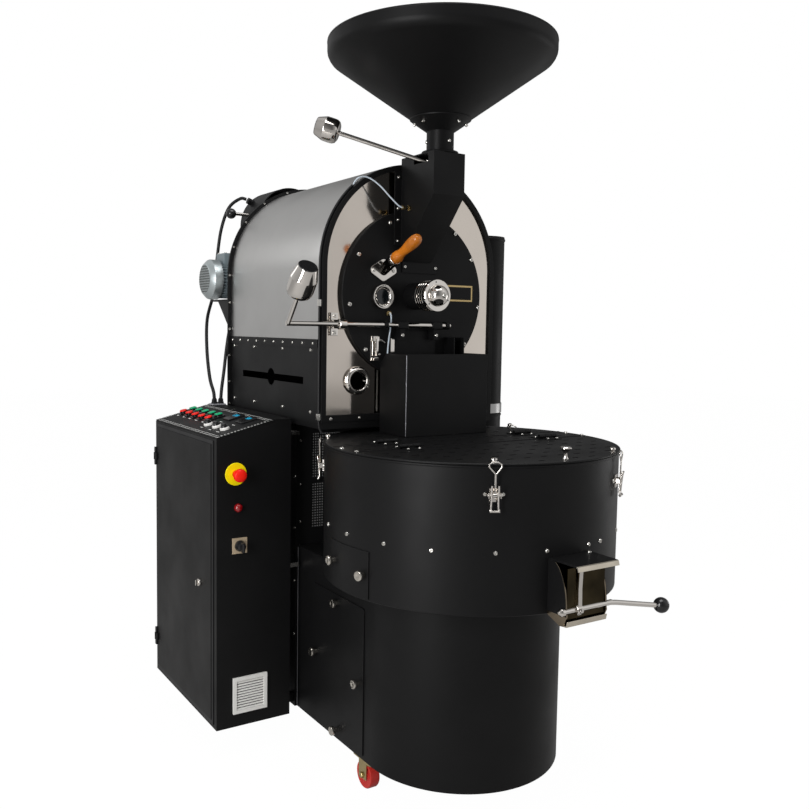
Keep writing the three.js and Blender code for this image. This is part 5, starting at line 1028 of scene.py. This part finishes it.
# Rear plate: 8 mm plate cut to an arch a little larger than the wrap, with the drum's rear bearing
# and a welded shelf for the motor. Screws round its rim hold it to the housing.
rear_arch = cut_sheet("rear_arch", arch(330, 1016.3), 8, spot(0, 953, 0), front_facing)
rear_arch = cut_out(rear_arch, borer(66.5, spot(-78, 900, 1693), (0, 1, 0)), borer(22.6, spot(0, 900, 1415), (0, 1, 0)))
rear_arch = softened(rear_arch, 1)
bearing_line = [(22.6, 0), (45, 0), (45, 19), (42, 22), (22.6, 22), (22.6, 0)]
rear_bearing = lathe("rear_bearing", bearing_line, spot(0, 953, 1415), (0, 1, 0), 56)
shelf = block("motor_shelf", (-330, 952.5, 1405.7), (-116, 1120, 1411.7), 0.8)
shelf_web = cut_sheet("shelf_web", [(952.5, 1411), (1048, 1411), (952.5, 1322)], 6, spot(-330, 0, 0), side_facing)
fitted(welded("rear_casing", rear_arch, rear_bearing, shelf, shelf_web), black_coat, "machine", "black_coat",
       "rear_plate")
rim_seats = []
for turn in range(0, 181, 18):
    rim_seats.append(spot(324.5 * cos(radians(turn)), 0, arch_middle + 324.5 * sin(radians(turn))))
for z in (1400, 1306, 1212, 1118, 1040):
    rim_seats += [spot(-324.5, 0, z), spot(324.5, 0, z)]
rim_nuts = [(Vector((seat.x, spot(0, 953, 0).y, seat.z)), (0, 1, 0)) for seat in rim_seats]
rim_heads = [(Vector((seat.x, spot(0, 945, 0).y, seat.z)), (0, -1, 0)) for seat in rim_seats]
fitted(heads("rear_plate_screws", rim_nuts + rim_heads, 4.4, 3), zinc_screw, "machine", "chrome")


# Exhaust hood: a welded can on the rear plate with an outlet collar behind and a cable gland. The
# damper blade slides inside on a rod that ends in a black ball.
hood_line = [(72, 182.7), (72, 161), (130, 161), (130, 0), (133, 0), (133, 163), (132, 164.7), (75, 164.7),
             (75, 182.7), (72, 182.7)]
hood_can = lathe("hood_can", hood_line, spot(-78, 953.6, 1693), (0, 1, 0), 96)
hood_can = cut_out(hood_can, borer(6.6, spot(-240, 1060, 1729), (1, 0, 0), 120))
hood_gland = rod("hood_gland", [spot(-166, 1080, 1773), spot(-198, 1080, 1785)], 12, 4)
fitted(welded("hood", hood_can, hood_gland), black_coat, "machine", "black_coat", "exhaust_hood")
damper_rod = rod("damper_rod", [spot(-116, 1060, 1729), spot(-262, 1060, 1729)], 6, 6)
damper_blade = block("damper_blade", (-118, 1058.5, 1669), (-20, 1061.5, 1755), 0.4)
fitted(welded("damper", damper_rod, damper_blade), chrome, "damper_slide", "chrome", "damper_slide")
damper_ball = [(0, -18.6), (7, -17.6)] + [(19 * cos(radians(a)), 19 * sin(radians(a))) for a in range(-60, 90, 10)] + \
    [(0, 19)]
fitted(lathe("damper_ball", damper_ball, spot(-272, 1060, 1729), (-1, 0, 0), 48), black_plastic, "damper_slide",
       "black_plastic")
hood_seats = [(spot(-78 + 118 * cos(radians(t)), 1118.3, 1693 + 118 * sin(radians(t))), (0, 1, 0))
              for t in range(15, 360, 45)]
fitted(heads("hood_screws", hood_seats, 4.5, 3), zinc_screw, "machine", "chrome")


# Drive: a finned motor with a perforated fan cowl turns a worm gearbox on the rear shelf. A roller
# chain runs from its small sprocket to the large one on the drum's shaft.
cowl_line = [(0, 0), (72, 0), (72, 27), (70, 31), (57, 44), (53, 46), (49, 46), (48, 44), (0, 44), (0, 0)]
cowl = lathe("cowl", cowl_line, spot(-334, 1048, 1484), (-1, 0, 0), 72)
fins = []
for i in range(72):
    reach = 67.5 if i % 2 else 61
    for step in (-1.2, 1.2):
        turn = radians(5 * i + step)
        fins.append((1048 + reach * cos(turn), 1484 + reach * sin(turn)))
can = cut_sheet("finned_can", fins, 104, spot(-335, 0, 0), side_facing)
gearbox = block("gearbox", (-234, 1003, 1412), (-104, 1094, 1540), 7)
gearbox = cut_out(gearbox, borer(12.6, spot(-160, 990, 1484), (0, 1, 0), 53))
terminal = block("terminal_box", (-320, 1008, 1534), (-250, 1088, 1580), 4)
fitted(welded("drive_motor_skin", can, gearbox, terminal), motor_paint, "machine", "motor_paint", "drive_motor")
cowl_silver = finish("silver_cowl", (0.50, 0.55, 0.56), 0.32, metallic=0.75, shade=0.9, patch=20)
fitted(cowl, cowl_silver, "machine", "motor_paint")
grille = lathe("cowl_grille", [(0, 0), (51.5, 0), (51.5, 1), (0, 1), (0, 0)], spot(-379.7, 1048, 1484), (-1, 0, 0), 48)
# Painted shade: the grille's holes are near black, for the shade seen through them inside the cowl.
grille_holes = perforated("cowl_grille", (0.42, 0.46, 0.46), 9, 0.35, 0.6, "YZ", hole=0.004, reach=0.36)
fitted(grille, grille_holes, "machine", "motor_paint")
motor_seats = [(spot(x, y, 1580), (0, 0, 1)) for x in (-312, -258) for y in (1016, 1080)]
motor_seats += [(spot(x, 1094, z), (0, 1, 0)) for x in (-222, -116) for z in (1424, 1528)]
fitted(heads("motor_screws", motor_seats, 4.5, 3), zinc_screw, "machine", "chrome")


def toothed(name, teeth, tip, thick, foot, facing=front_facing):
    """A chain wheel: flat sheet with a tooth for each link."""
    line = []
    for i in range(teeth):
        for share, reach in ((0.0, tip - 6.5), (0.16, tip - 6.8), (0.34, tip - 3), (0.46, tip), (0.58, tip), (0.7, tip - 3),
                             (0.88, tip - 6.8)):
            turn = 2 * pi * (i + share) / teeth
            line.append((reach * cos(turn), reach * sin(turn)))
    return cut_sheet(name, line, thick, foot, facing)


small_wheel = toothed("small_wheel", 21, 43, 6, spot(-160, 994, 1484))
drive_shaft = lathe("drive_shaft", [(0, -6), (12, -6), (12, 52), (0, 52), (0, -6)], spot(-160, 985, 1484), (0, 1, 0), 32)
small_hub = lathe("small_hub", [(12, 0), (24, 0), (24, 12), (12, 12), (12, 0)], spot(-160, 985, 1484), (0, 1, 0), 40)
fitted(welded("drive_wheel", small_wheel, drive_shaft, small_hub), machined_steel, "drive_sprocket", "steel",
       "drive_sprocket")


def repeated(name, first, places):
    """Copies of a first piece, one at each place, joined into one; the first is cleared away."""
    copies = []
    for place in places:
        copy = bpy.data.objects.new(name, first.data.copy())
        bpy.context.scene.collection.objects.link(copy)
        copy.data.transform(place)
        copies.append(copy)
    bpy.data.objects.remove(first)
    return welded(name, *copies)


big_centre, small_centre = Vector((0, 1415)), Vector((-160, 1484))
big_reach, small_reach = 111.5, 47.5
between = small_centre - big_centre
lean = atan2(between.y, between.x)
touch = acos((big_reach - small_reach) / between.length)
on_wheel = lambda centre, reach, turn: centre + reach * Vector((cos(turn), sin(turn)))
pins = [on_wheel(big_centre, big_reach, lean + touch + (2 * pi - 2 * touch) * i / 34) for i in range(34)]
tight, slack = (on_wheel(big_centre, big_reach, lean - touch), on_wheel(small_centre, small_reach, lean - touch))
pins += [tight.lerp(slack, i / 13) for i in range(13)]
pins += [on_wheel(small_centre, small_reach, lean - touch + 2 * touch * i / 9) for i in range(9)]
tight, slack = (on_wheel(small_centre, small_reach, lean + touch), on_wheel(big_centre, big_reach, lean + touch))
pins += [tight.lerp(slack, i / 13) for i in range(13)]
link_line = arc(5.2, 90, 270, 5) + arc(5.2, -90, 90, 5, (12.7, 0))
link_plates = []
for y, parity in ((986, 0), (997.5, 0), (987.7, 1), (995.8, 1)):
    places = []
    for i in range(parity, len(pins), 2):
        step = pins[(i + 1) % len(pins)] - pins[i]
        turn = Matrix.Rotation(-atan2(step.y, step.x), 4, "Y")
        places.append(Matrix.Translation(spot(pins[i].x, y, pins[i].y)) @ turn)
    link_plates.append(repeated("link_plates", cut_sheet("link", link_line, 1.5, (0, 0, 0), front_facing), places))
roller = lathe("roller", [(0, 0), (4.2, 0), (4.2, 13), (0, 13), (0, 0)], (0, 0, 0), (0, -1, 0), 10)
rollers = repeated("rollers", roller, [Matrix.Translation(spot(pin.x, 997.6, pin.y)) for pin in pins])
fitted(welded("drive_chain", rollers, *link_plates), machined_steel, "machine", "steel")


# Drum: 5 mm plate rolled to a cylinder, closed behind and open in front, on a shaft with spokes.
# Four vanes turn the beans, and the large chain wheel sits on the shaft's rear end.
warm_iron = finish("heat_blued_steel", (0.13, 0.125, 0.13), 0.55, metallic=0.8, shade=0.6, depth=0.2)
drum_foot = spot(0, 291, 1415)
shell = lathe("drum_shell", [(0, 635), (230, 635), (230, 0), (235, 0), (235, 640), (0, 640), (0, 635)], drum_foot,
              (0, 1, 0), 96)
drum_shaft = lathe("drum_shaft", [(0, 0), (20, 0), (22, 2), (22, 871), (0, 871), (0, 0)], spot(0, 150, 1415), (0, 1, 0), 40)
about_drum = lambda degrees: (Matrix.Translation(spot(0, 0, 1415)) @ Matrix.Rotation(radians(degrees), 4, "Y")
                              @ Matrix.Translation(-spot(0, 0, 1415)))
vanes = repeated("vanes", block("vane", (-2, 301, 1590), (2, 928, 1647.4), 0.5), [about_drum(45 + 90 * i) for i in range(4)])
spokes = repeated("spokes", block("spoke", (-5, 361, 1183), (5, 381, 1647), 1), [about_drum(60 * i) for i in range(3)])
big_wheel = toothed("big_wheel", 52, 107, 6, spot(0, 994, 1415))
big_hub = lathe("big_hub", [(22, 0), (40, 0), (40, 12), (22, 12), (22, 0)], spot(0, 985, 1415), (0, 1, 0), 48)
fitted(welded("drum_inside", shell, drum_shaft, vanes, spokes, big_wheel, big_hub), warm_iron, "drum", "iron", "drum")


# Duct: a rolled and seamed pipe stands on a sheet box that takes the fan's air, with a bead at each
# joint. A steel collar and a short bar stay it against the burner housing.
duct_foot = spot(405, 430, 0)
pipe_line = [(72, 416), (75, 416)]
for z in (426, 1020, 1625):
    pipe_line += [(75, z - 5), (77, z - 3), (77.6, z), (77, z + 3), (75, z + 5)]
pipe_line += [(75, 1635), (72, 1635), (72, 416)]
pipe = lathe("duct_pipe", pipe_line, duct_foot, steps=72)
duct_box = softened(block("duct_box", (300.3, 355, 230), (483, 640, 420), 0), 1.5)
duct_box = cut_out(duct_box, block("box_inside", (304.3, 359, 234), (479, 636, 416), 0),
                   borer(55, spot(290, 560, 310), (1, 0, 0), 30), borer(72, spot(405, 430, 400), (0, 0, 1), 40))
fitted(welded("duct", pipe, duct_box), black_coat, "machine", "black_coat", "exhaust_duct")
stay = lathe("duct_stay", [(0, 0), (10, 0), (10, 14), (0, 14), (0, 0)], spot(318.4, 420, 1049), (1, 0, 0), 24)
duct_collar = lathe("duct_collar", [(75.4, 0), (78, 0), (78, 32), (75.4, 32), (75.4, 0)], spot(405, 430, 1028), steps=72)
fitted(welded("duct_fixings", stay, duct_collar), machined_steel, "machine", "steel")


# Cooling fan: a painted cast volute with its motor on a foot inside the base.
fitted(dressed("cooling_fan", 1.5), motor_paint, "machine", "motor_paint", "cooling_fan")


# Cabinet: a folded and welded box of 4 mm sheet with a sloping top, coated with the machine. A dark
# seal runs round its side door, which turns on two block hinges and a quarter-turn lock.
cabinet_line = [(-582, 100), (-339, 100), (-339, 1035), (-394, 1035), (-394, 1030.7), (-582, 983.7)]
hollow_line = [(-578, 104), (-343, 104), (-343, 1031), (-390, 1031), (-390, 1022.4), (-578, 975.4)]
cabinet = cut_sheet("cabinet", cabinet_line, 567, spot(0, 982, 0), front_facing)
cabinet = cut_out(cabinet, cut_sheet("cabinet_hollow", hollow_line, 559, spot(0, 978, 0), front_facing),
                  block("side_way", (-600, 463, 134), (-570, 948, 954), 0),
                  block("panel_way", (-570, 427, 948), (-402, 970, 1050), 0),
                  borer(12, spot(-521.25, 400, 877), (0, 1, 0), 30), borer(8, spot(-509.1, 400, 659.4), (0, 1, 0), 30))
fitted(softened(cabinet, 1.6, 3), black_coat, "machine", "black_coat", "cabinet_shell")
seal = block("door_seal", (-584.6, 439, 110), (-581.5, 962, 978), 0.8)
seal = cut_out(seal, block("seal_inside", (-590, 450.6, 121.6), (-570, 980, 966.4), 0))
fitted(seal, cable_sheath, "machine", "black_plastic")
door_leaf = block("cabinet_leaf", (-586.3, 451, 122), (-582.3, 960, 966), 0)
door_leaf = softened(cut_out(door_leaf, borer(8, spot(-595, 539.74, 526.24), (1, 0, 0), 20)), 1.4, 3)
knuckle_line = [(3.7, -12), (6, -12), (6, 12), (3.7, 12), (3.7, -12)]
door_parts, shell_parts = [], []
for z in (863.7, 224.3):
    door_parts.append(lathe("door_knuckle", knuckle_line, spot(-589, 968, z), steps=24))
    door_parts.append(block("knuckle_leaf", (-592, 950, z - 12), (-585.4, 963.5, z + 12), 1))
    shell_parts.append(rod("hinge_post", [spot(-589, 968, z - 26), spot(-589, 968, z + 26)], 3, 4))
    shell_parts += [block("hinge_block", (-592, 962, z + side * 22 - 9), (-581, 974, z + side * 22 + 9), 1.2)
                    for side in (-1, 1)]
fitted(welded("cabinet_side_door", door_leaf, *door_parts), black_coat, "cabinet_door", "black_coat", "cabinet_door")
fitted(welded("cabinet_hinges", *shell_parts), black_plastic, "machine", "black_plastic")
lock_line = [(0, -24), (7.4, -24), (7.4, 0.6), (12, 0.6), (12, 6), (10.5, 8), (0, 8), (0, -24)]
lock_cap = lathe("lock_cap", lock_line, spot(-586.6, 539.74, 526.24), (-1, 0, 0), 40)
lock_key = block("lock_key", (-602, 537.3, 517.3), (-593.8, 542.2, 535.2), 1.2)
lock_cam = block("lock_cam", (-568.3, 533.7, 496.3), (-564.3, 545.7, 532.2), 1)
fitted(welded("quarter_turn_lock", lock_cap, lock_key, lock_cam), chrome, "door_lock", "chrome", "door_lock")


# Cabinet front, from the top down: an emergency stop on a yellow disc, a red lamp, a rotary main
# switch on its beige plate, and a louvred white vent for the cabinet's fan. All are moulded.
yellow_plastic = finish("yellow_disc", (1.0, 0.84, 0.002), 0.45, specular=0.15, shade=0.98, depth=0.02)
red_plastic = finish("red_plastic", (0.98, 0.018, 0.008), 0.32, specular=0.22, shade=0.96, depth=0.02)
stop_disc = [(12, -0.5), (34, -0.5), (34, 2), (33, 3), (28, 3), (27, 2.4), (12, 2.4), (12, -0.5)]
fitted(lathe("stop_disc", stop_disc, spot(-521.25, 415, 877), (0, -1, 0), 72), yellow_plastic, "machine", "button_plastic")
mushroom = [(0, -16), (11, -16), (11, 16), (15, 16), (15, 22), (19, 26.5), (20, 29), (20, 35.5), (19, 39.5), (16, 42.3),
            (9, 43.7), (0, 44), (0, -16)]
fitted(lathe("stop_mushroom", mushroom, spot(-521.25, 415, 877), (0, -1, 0), 56), red_plastic, "estop_button",
       "red_plastic", "estop_button")
lamp_red = finish("red_lamp", (0.34, 0.004, 0.008), 0.08, specular=0.9, shade=0.6, patch=90, depth=0.0)
lamp_line = [(0, -0.5), (13, -0.5), (13, 4), (12, 8.5), (8, 12.6), (0, 14), (0, -0.5)]
fitted(lathe("lamp", lamp_line, spot(-514, 415, 774.9), (0, -1, 0), 10), lamp_red, "machine", "red_plastic")
beige = finish("beige_plate", (0.56, 0.44, 0.30), 0.35, metallic=0.3, shade=0.92)
switch_plate = block("switch_plate", (-533.1, 412, 635.4), (-485.1, 415.3, 683.4), 1)
fitted(cut_out(switch_plate, borer(8.4, spot(-509.1, 400, 659.4), (0, 1, 0), 30)), beige, "machine", "button_plastic")
dial_line = [(0, -24), (7.4, -24), (7.4, 3.4), (17, 3.4), (17, 9), (15.5, 12), (13, 21), (11.5, 22), (0, 22), (0, -24)]
dial = lathe("switch_dial", dial_line, spot(-509.1, 415, 659.4), (0, -1, 0), 48)
grip = block("switch_grip", (-514, 381, 643.6), (-504.2, 396, 672), 2.4)
fitted(welded("rotary_switch", dial, grip), black_plastic, "main_switch", "black_plastic", "main_switch")
white_plastic = finish("white_plastic", (0.86, 0.85, 0.82), 0.4, shade=0.96, depth=0.02)
vent_frame = cut_out(block("vent_frame", (-531, 407, 141.7), (-419, 415.2, 253.7), 1.4),
                     block("vent_way", (-520, 400, 152.7), (-430, 420, 242.7), 0))
slats = [cut_sheet("slat", [(408, z), (408.9, z - 1.2), (413.4, z + 2), (412.6, z + 3.4)], 90.4, spot(-520.2, 0, 0),
                   side_facing) for z in (154.4 + 8.2 * i for i in range(11))]
fitted(welded("cabinet_vent", vent_frame, *slats), white_plastic, "machine", "button_plastic")
fitted(block("vent_back", (-521, 414.2, 151), (-429, 415.6, 244), 0), black_plastic, "machine", "black_plastic")


# Control panel: a printed black sheet on the cabinet's sloping top. From the door inwards it has
# three selectors, five pairs of red and green push buttons and two displays.
panel_lean = atan2(47, 188)
slope = Matrix.Translation(spot(-582, 0, 988)) @ Matrix.Rotation(-panel_lean, 4, "Y") @ Matrix.Translation(-spot(0, 0, 0))


def on_panel(piece):
    """Lays a piece made at (along, back, out) on the sloping panel."""
    piece.data.transform(slope)
    return piece


button_rows = (939.475, 879.94, 820.405, 760.87, 701.335)
selector_rows = (627.625, 556.75, 491.545)
display_rows = (619.12, 517.06)
stems = [borer(10.6, spot(107, y, -20), (0, 0, 1), 40) for y in button_rows]
stems += [borer(10.6, spot(59, y, -20), (0, 0, 1), 40) for y in selector_rows]
panel = cut_out(block("panel", (0, 415, -4), (189.8, 982, 0), 1.2), *stems)
fitted(on_panel(panel), black_coat, "machine", "black_coat", "control_panel")
print_marks = []
for inset, phase in ((5, 0), (13, 5)):
    near, far = 415 + inset, 982 - inset
    left, right = inset, 189.8 - inset
    for i in range(int((far - near) / 11)):
        y = near + phase + 11 * i
        print_marks += [((left - 1.4, y), (left + 1.4, y + 5.5)), ((right - 1.4, y), (right + 1.4, y + 5.5))]
    for i in range(int((right - left) / 11)):
        x = left + phase + 11 * i
        print_marks += [((x, near - 1.4), (x + 5.5, near + 1.4)), ((x, far - 1.4), (x + 5.5, far + 1.4))]
print_marks += [((64, y - 8), (69, y + 9)) for y in button_rows]
print_marks += [((33, y - 9), (37, y + 9)) for y in selector_rows]
print_marks += [((96, y - 12), (100, y + 8)) for y in display_rows]
mark = block("mark", (-0.5, -0.5, 0), (0.5, 0.5, 0.25), 0)
mark.data.transform(Matrix.Translation(-spot(0, 0, 0)))
places = []
for (a, b), (c, d) in print_marks:
    grow = Matrix.Diagonal((c - a, d - b, 1, 1))
    places.append(Matrix.Translation(spot((a + c) / 2, (b + d) / 2, 0)) @ grow)
white_print = finish("white_print", (0.75, 0.75, 0.73), 0.5, shade=0.95, depth=0.0)
fitted(on_panel(repeated("panel_print", mark, places)), white_print, "machine", "button_plastic")

green_plastic = finish("green_plastic", (0.005, 0.52, 0.22), 0.3, shade=0.94, depth=0.02)
for number, y in enumerate(button_rows, 1):
    bezel = block("button_bezel", (72, y - 16, -0.2), (142, y + 16, 4.4), 1.2)
    bezel = cut_out(bezel, borer(13.6, spot(89, y, -10), (0, 0, 1), 30), borer(13.6, spot(125, y, -10), (0, 0, 1), 30),
                    block("bridge_way", (85, y - 5, -10), (129, y + 5, 20), 0))
    fitted(on_panel(bezel), black_plastic, "machine", "black_plastic").name = f"button_bezel_{number}"
    stem = lathe("stem", [(0, -18), (10, -18), (10, 9), (0, 9), (0, -18)], spot(107, y, 0), steps=24)
    bridge = block("bridge", (89, y - 4, 4.6), (125, y + 4, 8.8), 0.6)
    skirts = [lathe("skirt", [(0, 4.6), (13, 4.6), (13, 9.6), (0, 9.6), (0, 4.6)], spot(x, y, 0), steps=32) for x in (89, 125)]
    node = f"button_pair_{number}"
    fitted(on_panel(welded(f"button_stem_{number}", stem, bridge, *skirts)), black_plastic, node, "black_plastic", node)
    red_cap = lathe("red_cap", [(0, 9), (12.6, 9), (12.6, 12), (11.6, 13.6), (0, 14), (0, 9)], spot(89, y, 0), steps=32)
    fitted(on_panel(red_cap), red_plastic, node, "red_plastic").name = f"stop_cap_{number}"
    green_cap = block("green_cap", (114.5, y - 10.5, 9), (135.5, y + 10.5, 13), 1.2)
    fitted(on_panel(green_cap), green_plastic, node, "button_plastic").name = f"start_cap_{number}"
for number, y in enumerate(selector_rows, 1):
    node = f"selector_{number}"
    collar_line = [(0, -18), (10, -18), (10, 0.4), (15, 0.4), (15, 5.6), (13, 8), (0, 8), (0, -18)]
    fitted(on_panel(lathe(f"selector_ring_{number}", collar_line, spot(59, y, 0), steps=40)), white_plastic, node,
           "button_plastic", node)
    grip = block("selector_grip", (55, y - 13, 7.4), (63, y + 13, 20), 1.8)
    boss = lathe("selector_boss", [(0, 7), (11.5, 7), (10.5, 13), (0, 13), (0, 7)], spot(59, y, 0), steps=32)
    fitted(on_panel(welded(f"selector_grip_{number}", grip, boss)), black_plastic, node, "black_plastic")

cyan = finish("cyan_digits", (0.0, 0.22, 0.34), 0.4, depth=0.0)
cyan_shader = cyan.node_tree.nodes["Principled BSDF"]
cyan_shader.inputs["Emission Color"].default_value = (0.0, 0.36, 0.62, 1)
cyan_shader.inputs["Emission Strength"].default_value = 0.8
segments = {"a": ((0, 8), (5, 9)), "b": ((4, 4.5), (5, 8.5)), "c": ((4, 0.5), (5, 4.5)), "d": ((0, 0), (5, 1)),
            "e": ((0, 0.5), (1, 4.5)), "f": ((0, 4.5), (1, 8.5)), "g": ((0.5, 4), (4.5, 5))}
shapes = {"1": "bc", "2": "abged", "0": "abcdef", "8": "abcdefg", "5": "afgcd"}
for number, (y, shown) in enumerate(zip(display_rows, ("205", "182")), 1):
    case = block("display_case", (115, y - 26, -0.2), (171, y + 26, 5), 1.4)
    fitted(on_panel(case), black_plastic, "machine", "black_plastic").name = f"display_case_{number}"
    bars = []
    for i, digit in enumerate(shown):
        for part in shapes[digit]:
            (a, b), (c, d) = segments[part]
            left = y - 17 + 12 * i
            bars.append(block("bar", (146 + b * 1.5, left + a * 1.6, 5), (146 + d * 1.5, left + c * 1.6, 5.4), 0))
    fitted(on_panel(welded(f"display_digits_{number}", *bars)), cyan, "machine", "button_plastic")


# Cables: black sheathed cables leave glands on the cabinet's top for the hood and the rear plate,
# and pale braided leads run from the two sensor fittings along the front.
def eased(points, count=6):
    """Places in the frame along a smooth run that passes through every point."""
    ends = [Vector(points[0]) * 2 - Vector(points[1])] + [Vector(p) for p in points] + \
        [Vector(points[-1]) * 2 - Vector(points[-2])]
    run = []
    for a, b, c, d in zip(ends, ends[1:], ends[2:], ends[3:]):
        for i in range(count):
            t = i / count
            run.append(spot(*(0.5 * (2 * b + (c - a) * t + (2 * a - 5 * b + 4 * c - d) * t * t
                                     + (3 * b - a - 3 * c + d) * t * t * t))))
    return run + [spot(*points[-1])]


hood_run = [(-203, 1080, 1789), (-225, 1087, 1790), (-262, 1105, 1756), (-280, 1135, 1680), (-290, 1150, 1580),
            (-305, 1152, 1440), (-340, 1125, 1340), (-366, 1060, 1230), (-380, 995, 1130), (-379, 960, 1080),
            (-378, 955, 1050)]
plate_run = [(-296, 954.6, 1351), (-297, 968, 1350), (-312, 972, 1310), (-326, 968, 1242), (-338, 963, 1160),
             (-350, 957, 1090), (-354, 955, 1050)]
cables = [rod("cable", eased(run), 6, 4) for run in (hood_run, plate_run)]
gland_line = [(0, 2), (12, 2), (12, 9), (10, 11), (10, 17), (8.5, 21), (6.2, 23.5), (0, 24), (0, 2)]
glands = [lathe("gland", gland_line, spot(x, 955, 1035.3), steps=6) for x in (-378, -354)]
fitted(welded("cables", *cables, *glands), cable_sheath, "machine", "cable_sheath", "cable_loom")
gland_plate = block("gland_plate", (-392, 935, 1035.3), (-342, 976, 1039.3), 0.8)
grey_plate = finish("grey_gland_plate", (0.52, 0.52, 0.56), 0.4, metallic=0.3, shade=0.92)
fitted(gland_plate, grey_plate, "machine", "steel")
lead_sleeve = finish("braided_lead", (0.62, 0.70, 0.78), 0.5, shade=0.85, grain=1600, depth=0.3)
upper_run = [(-72, 204.7, 1674), (-92, 205, 1677), (-120, 212, 1702), (-150, 225, 1735), (-180, 238, 1756),
             (-205, 244, 1756), (-216, 252, 1746), (-219, 259.5, 1736)]
lower_run = [(-96, 252.5, 1361), (-96, 240, 1361), (-97, 233, 1350), (-99, 232, 1320), (-102, 236, 1285),
             (-104, 240, 1240), (-107, 244, 1180), (-109, 246, 1120), (-109, 246, 1060)]
for name, run in (("upper", upper_run), ("lower", lower_run)):
    fitted(rod(f"{name}_lead", eased(run), 2.3, 4), lead_sleeve, "machine", "lead_sleeve", f"{name}_thermocouple_lead")
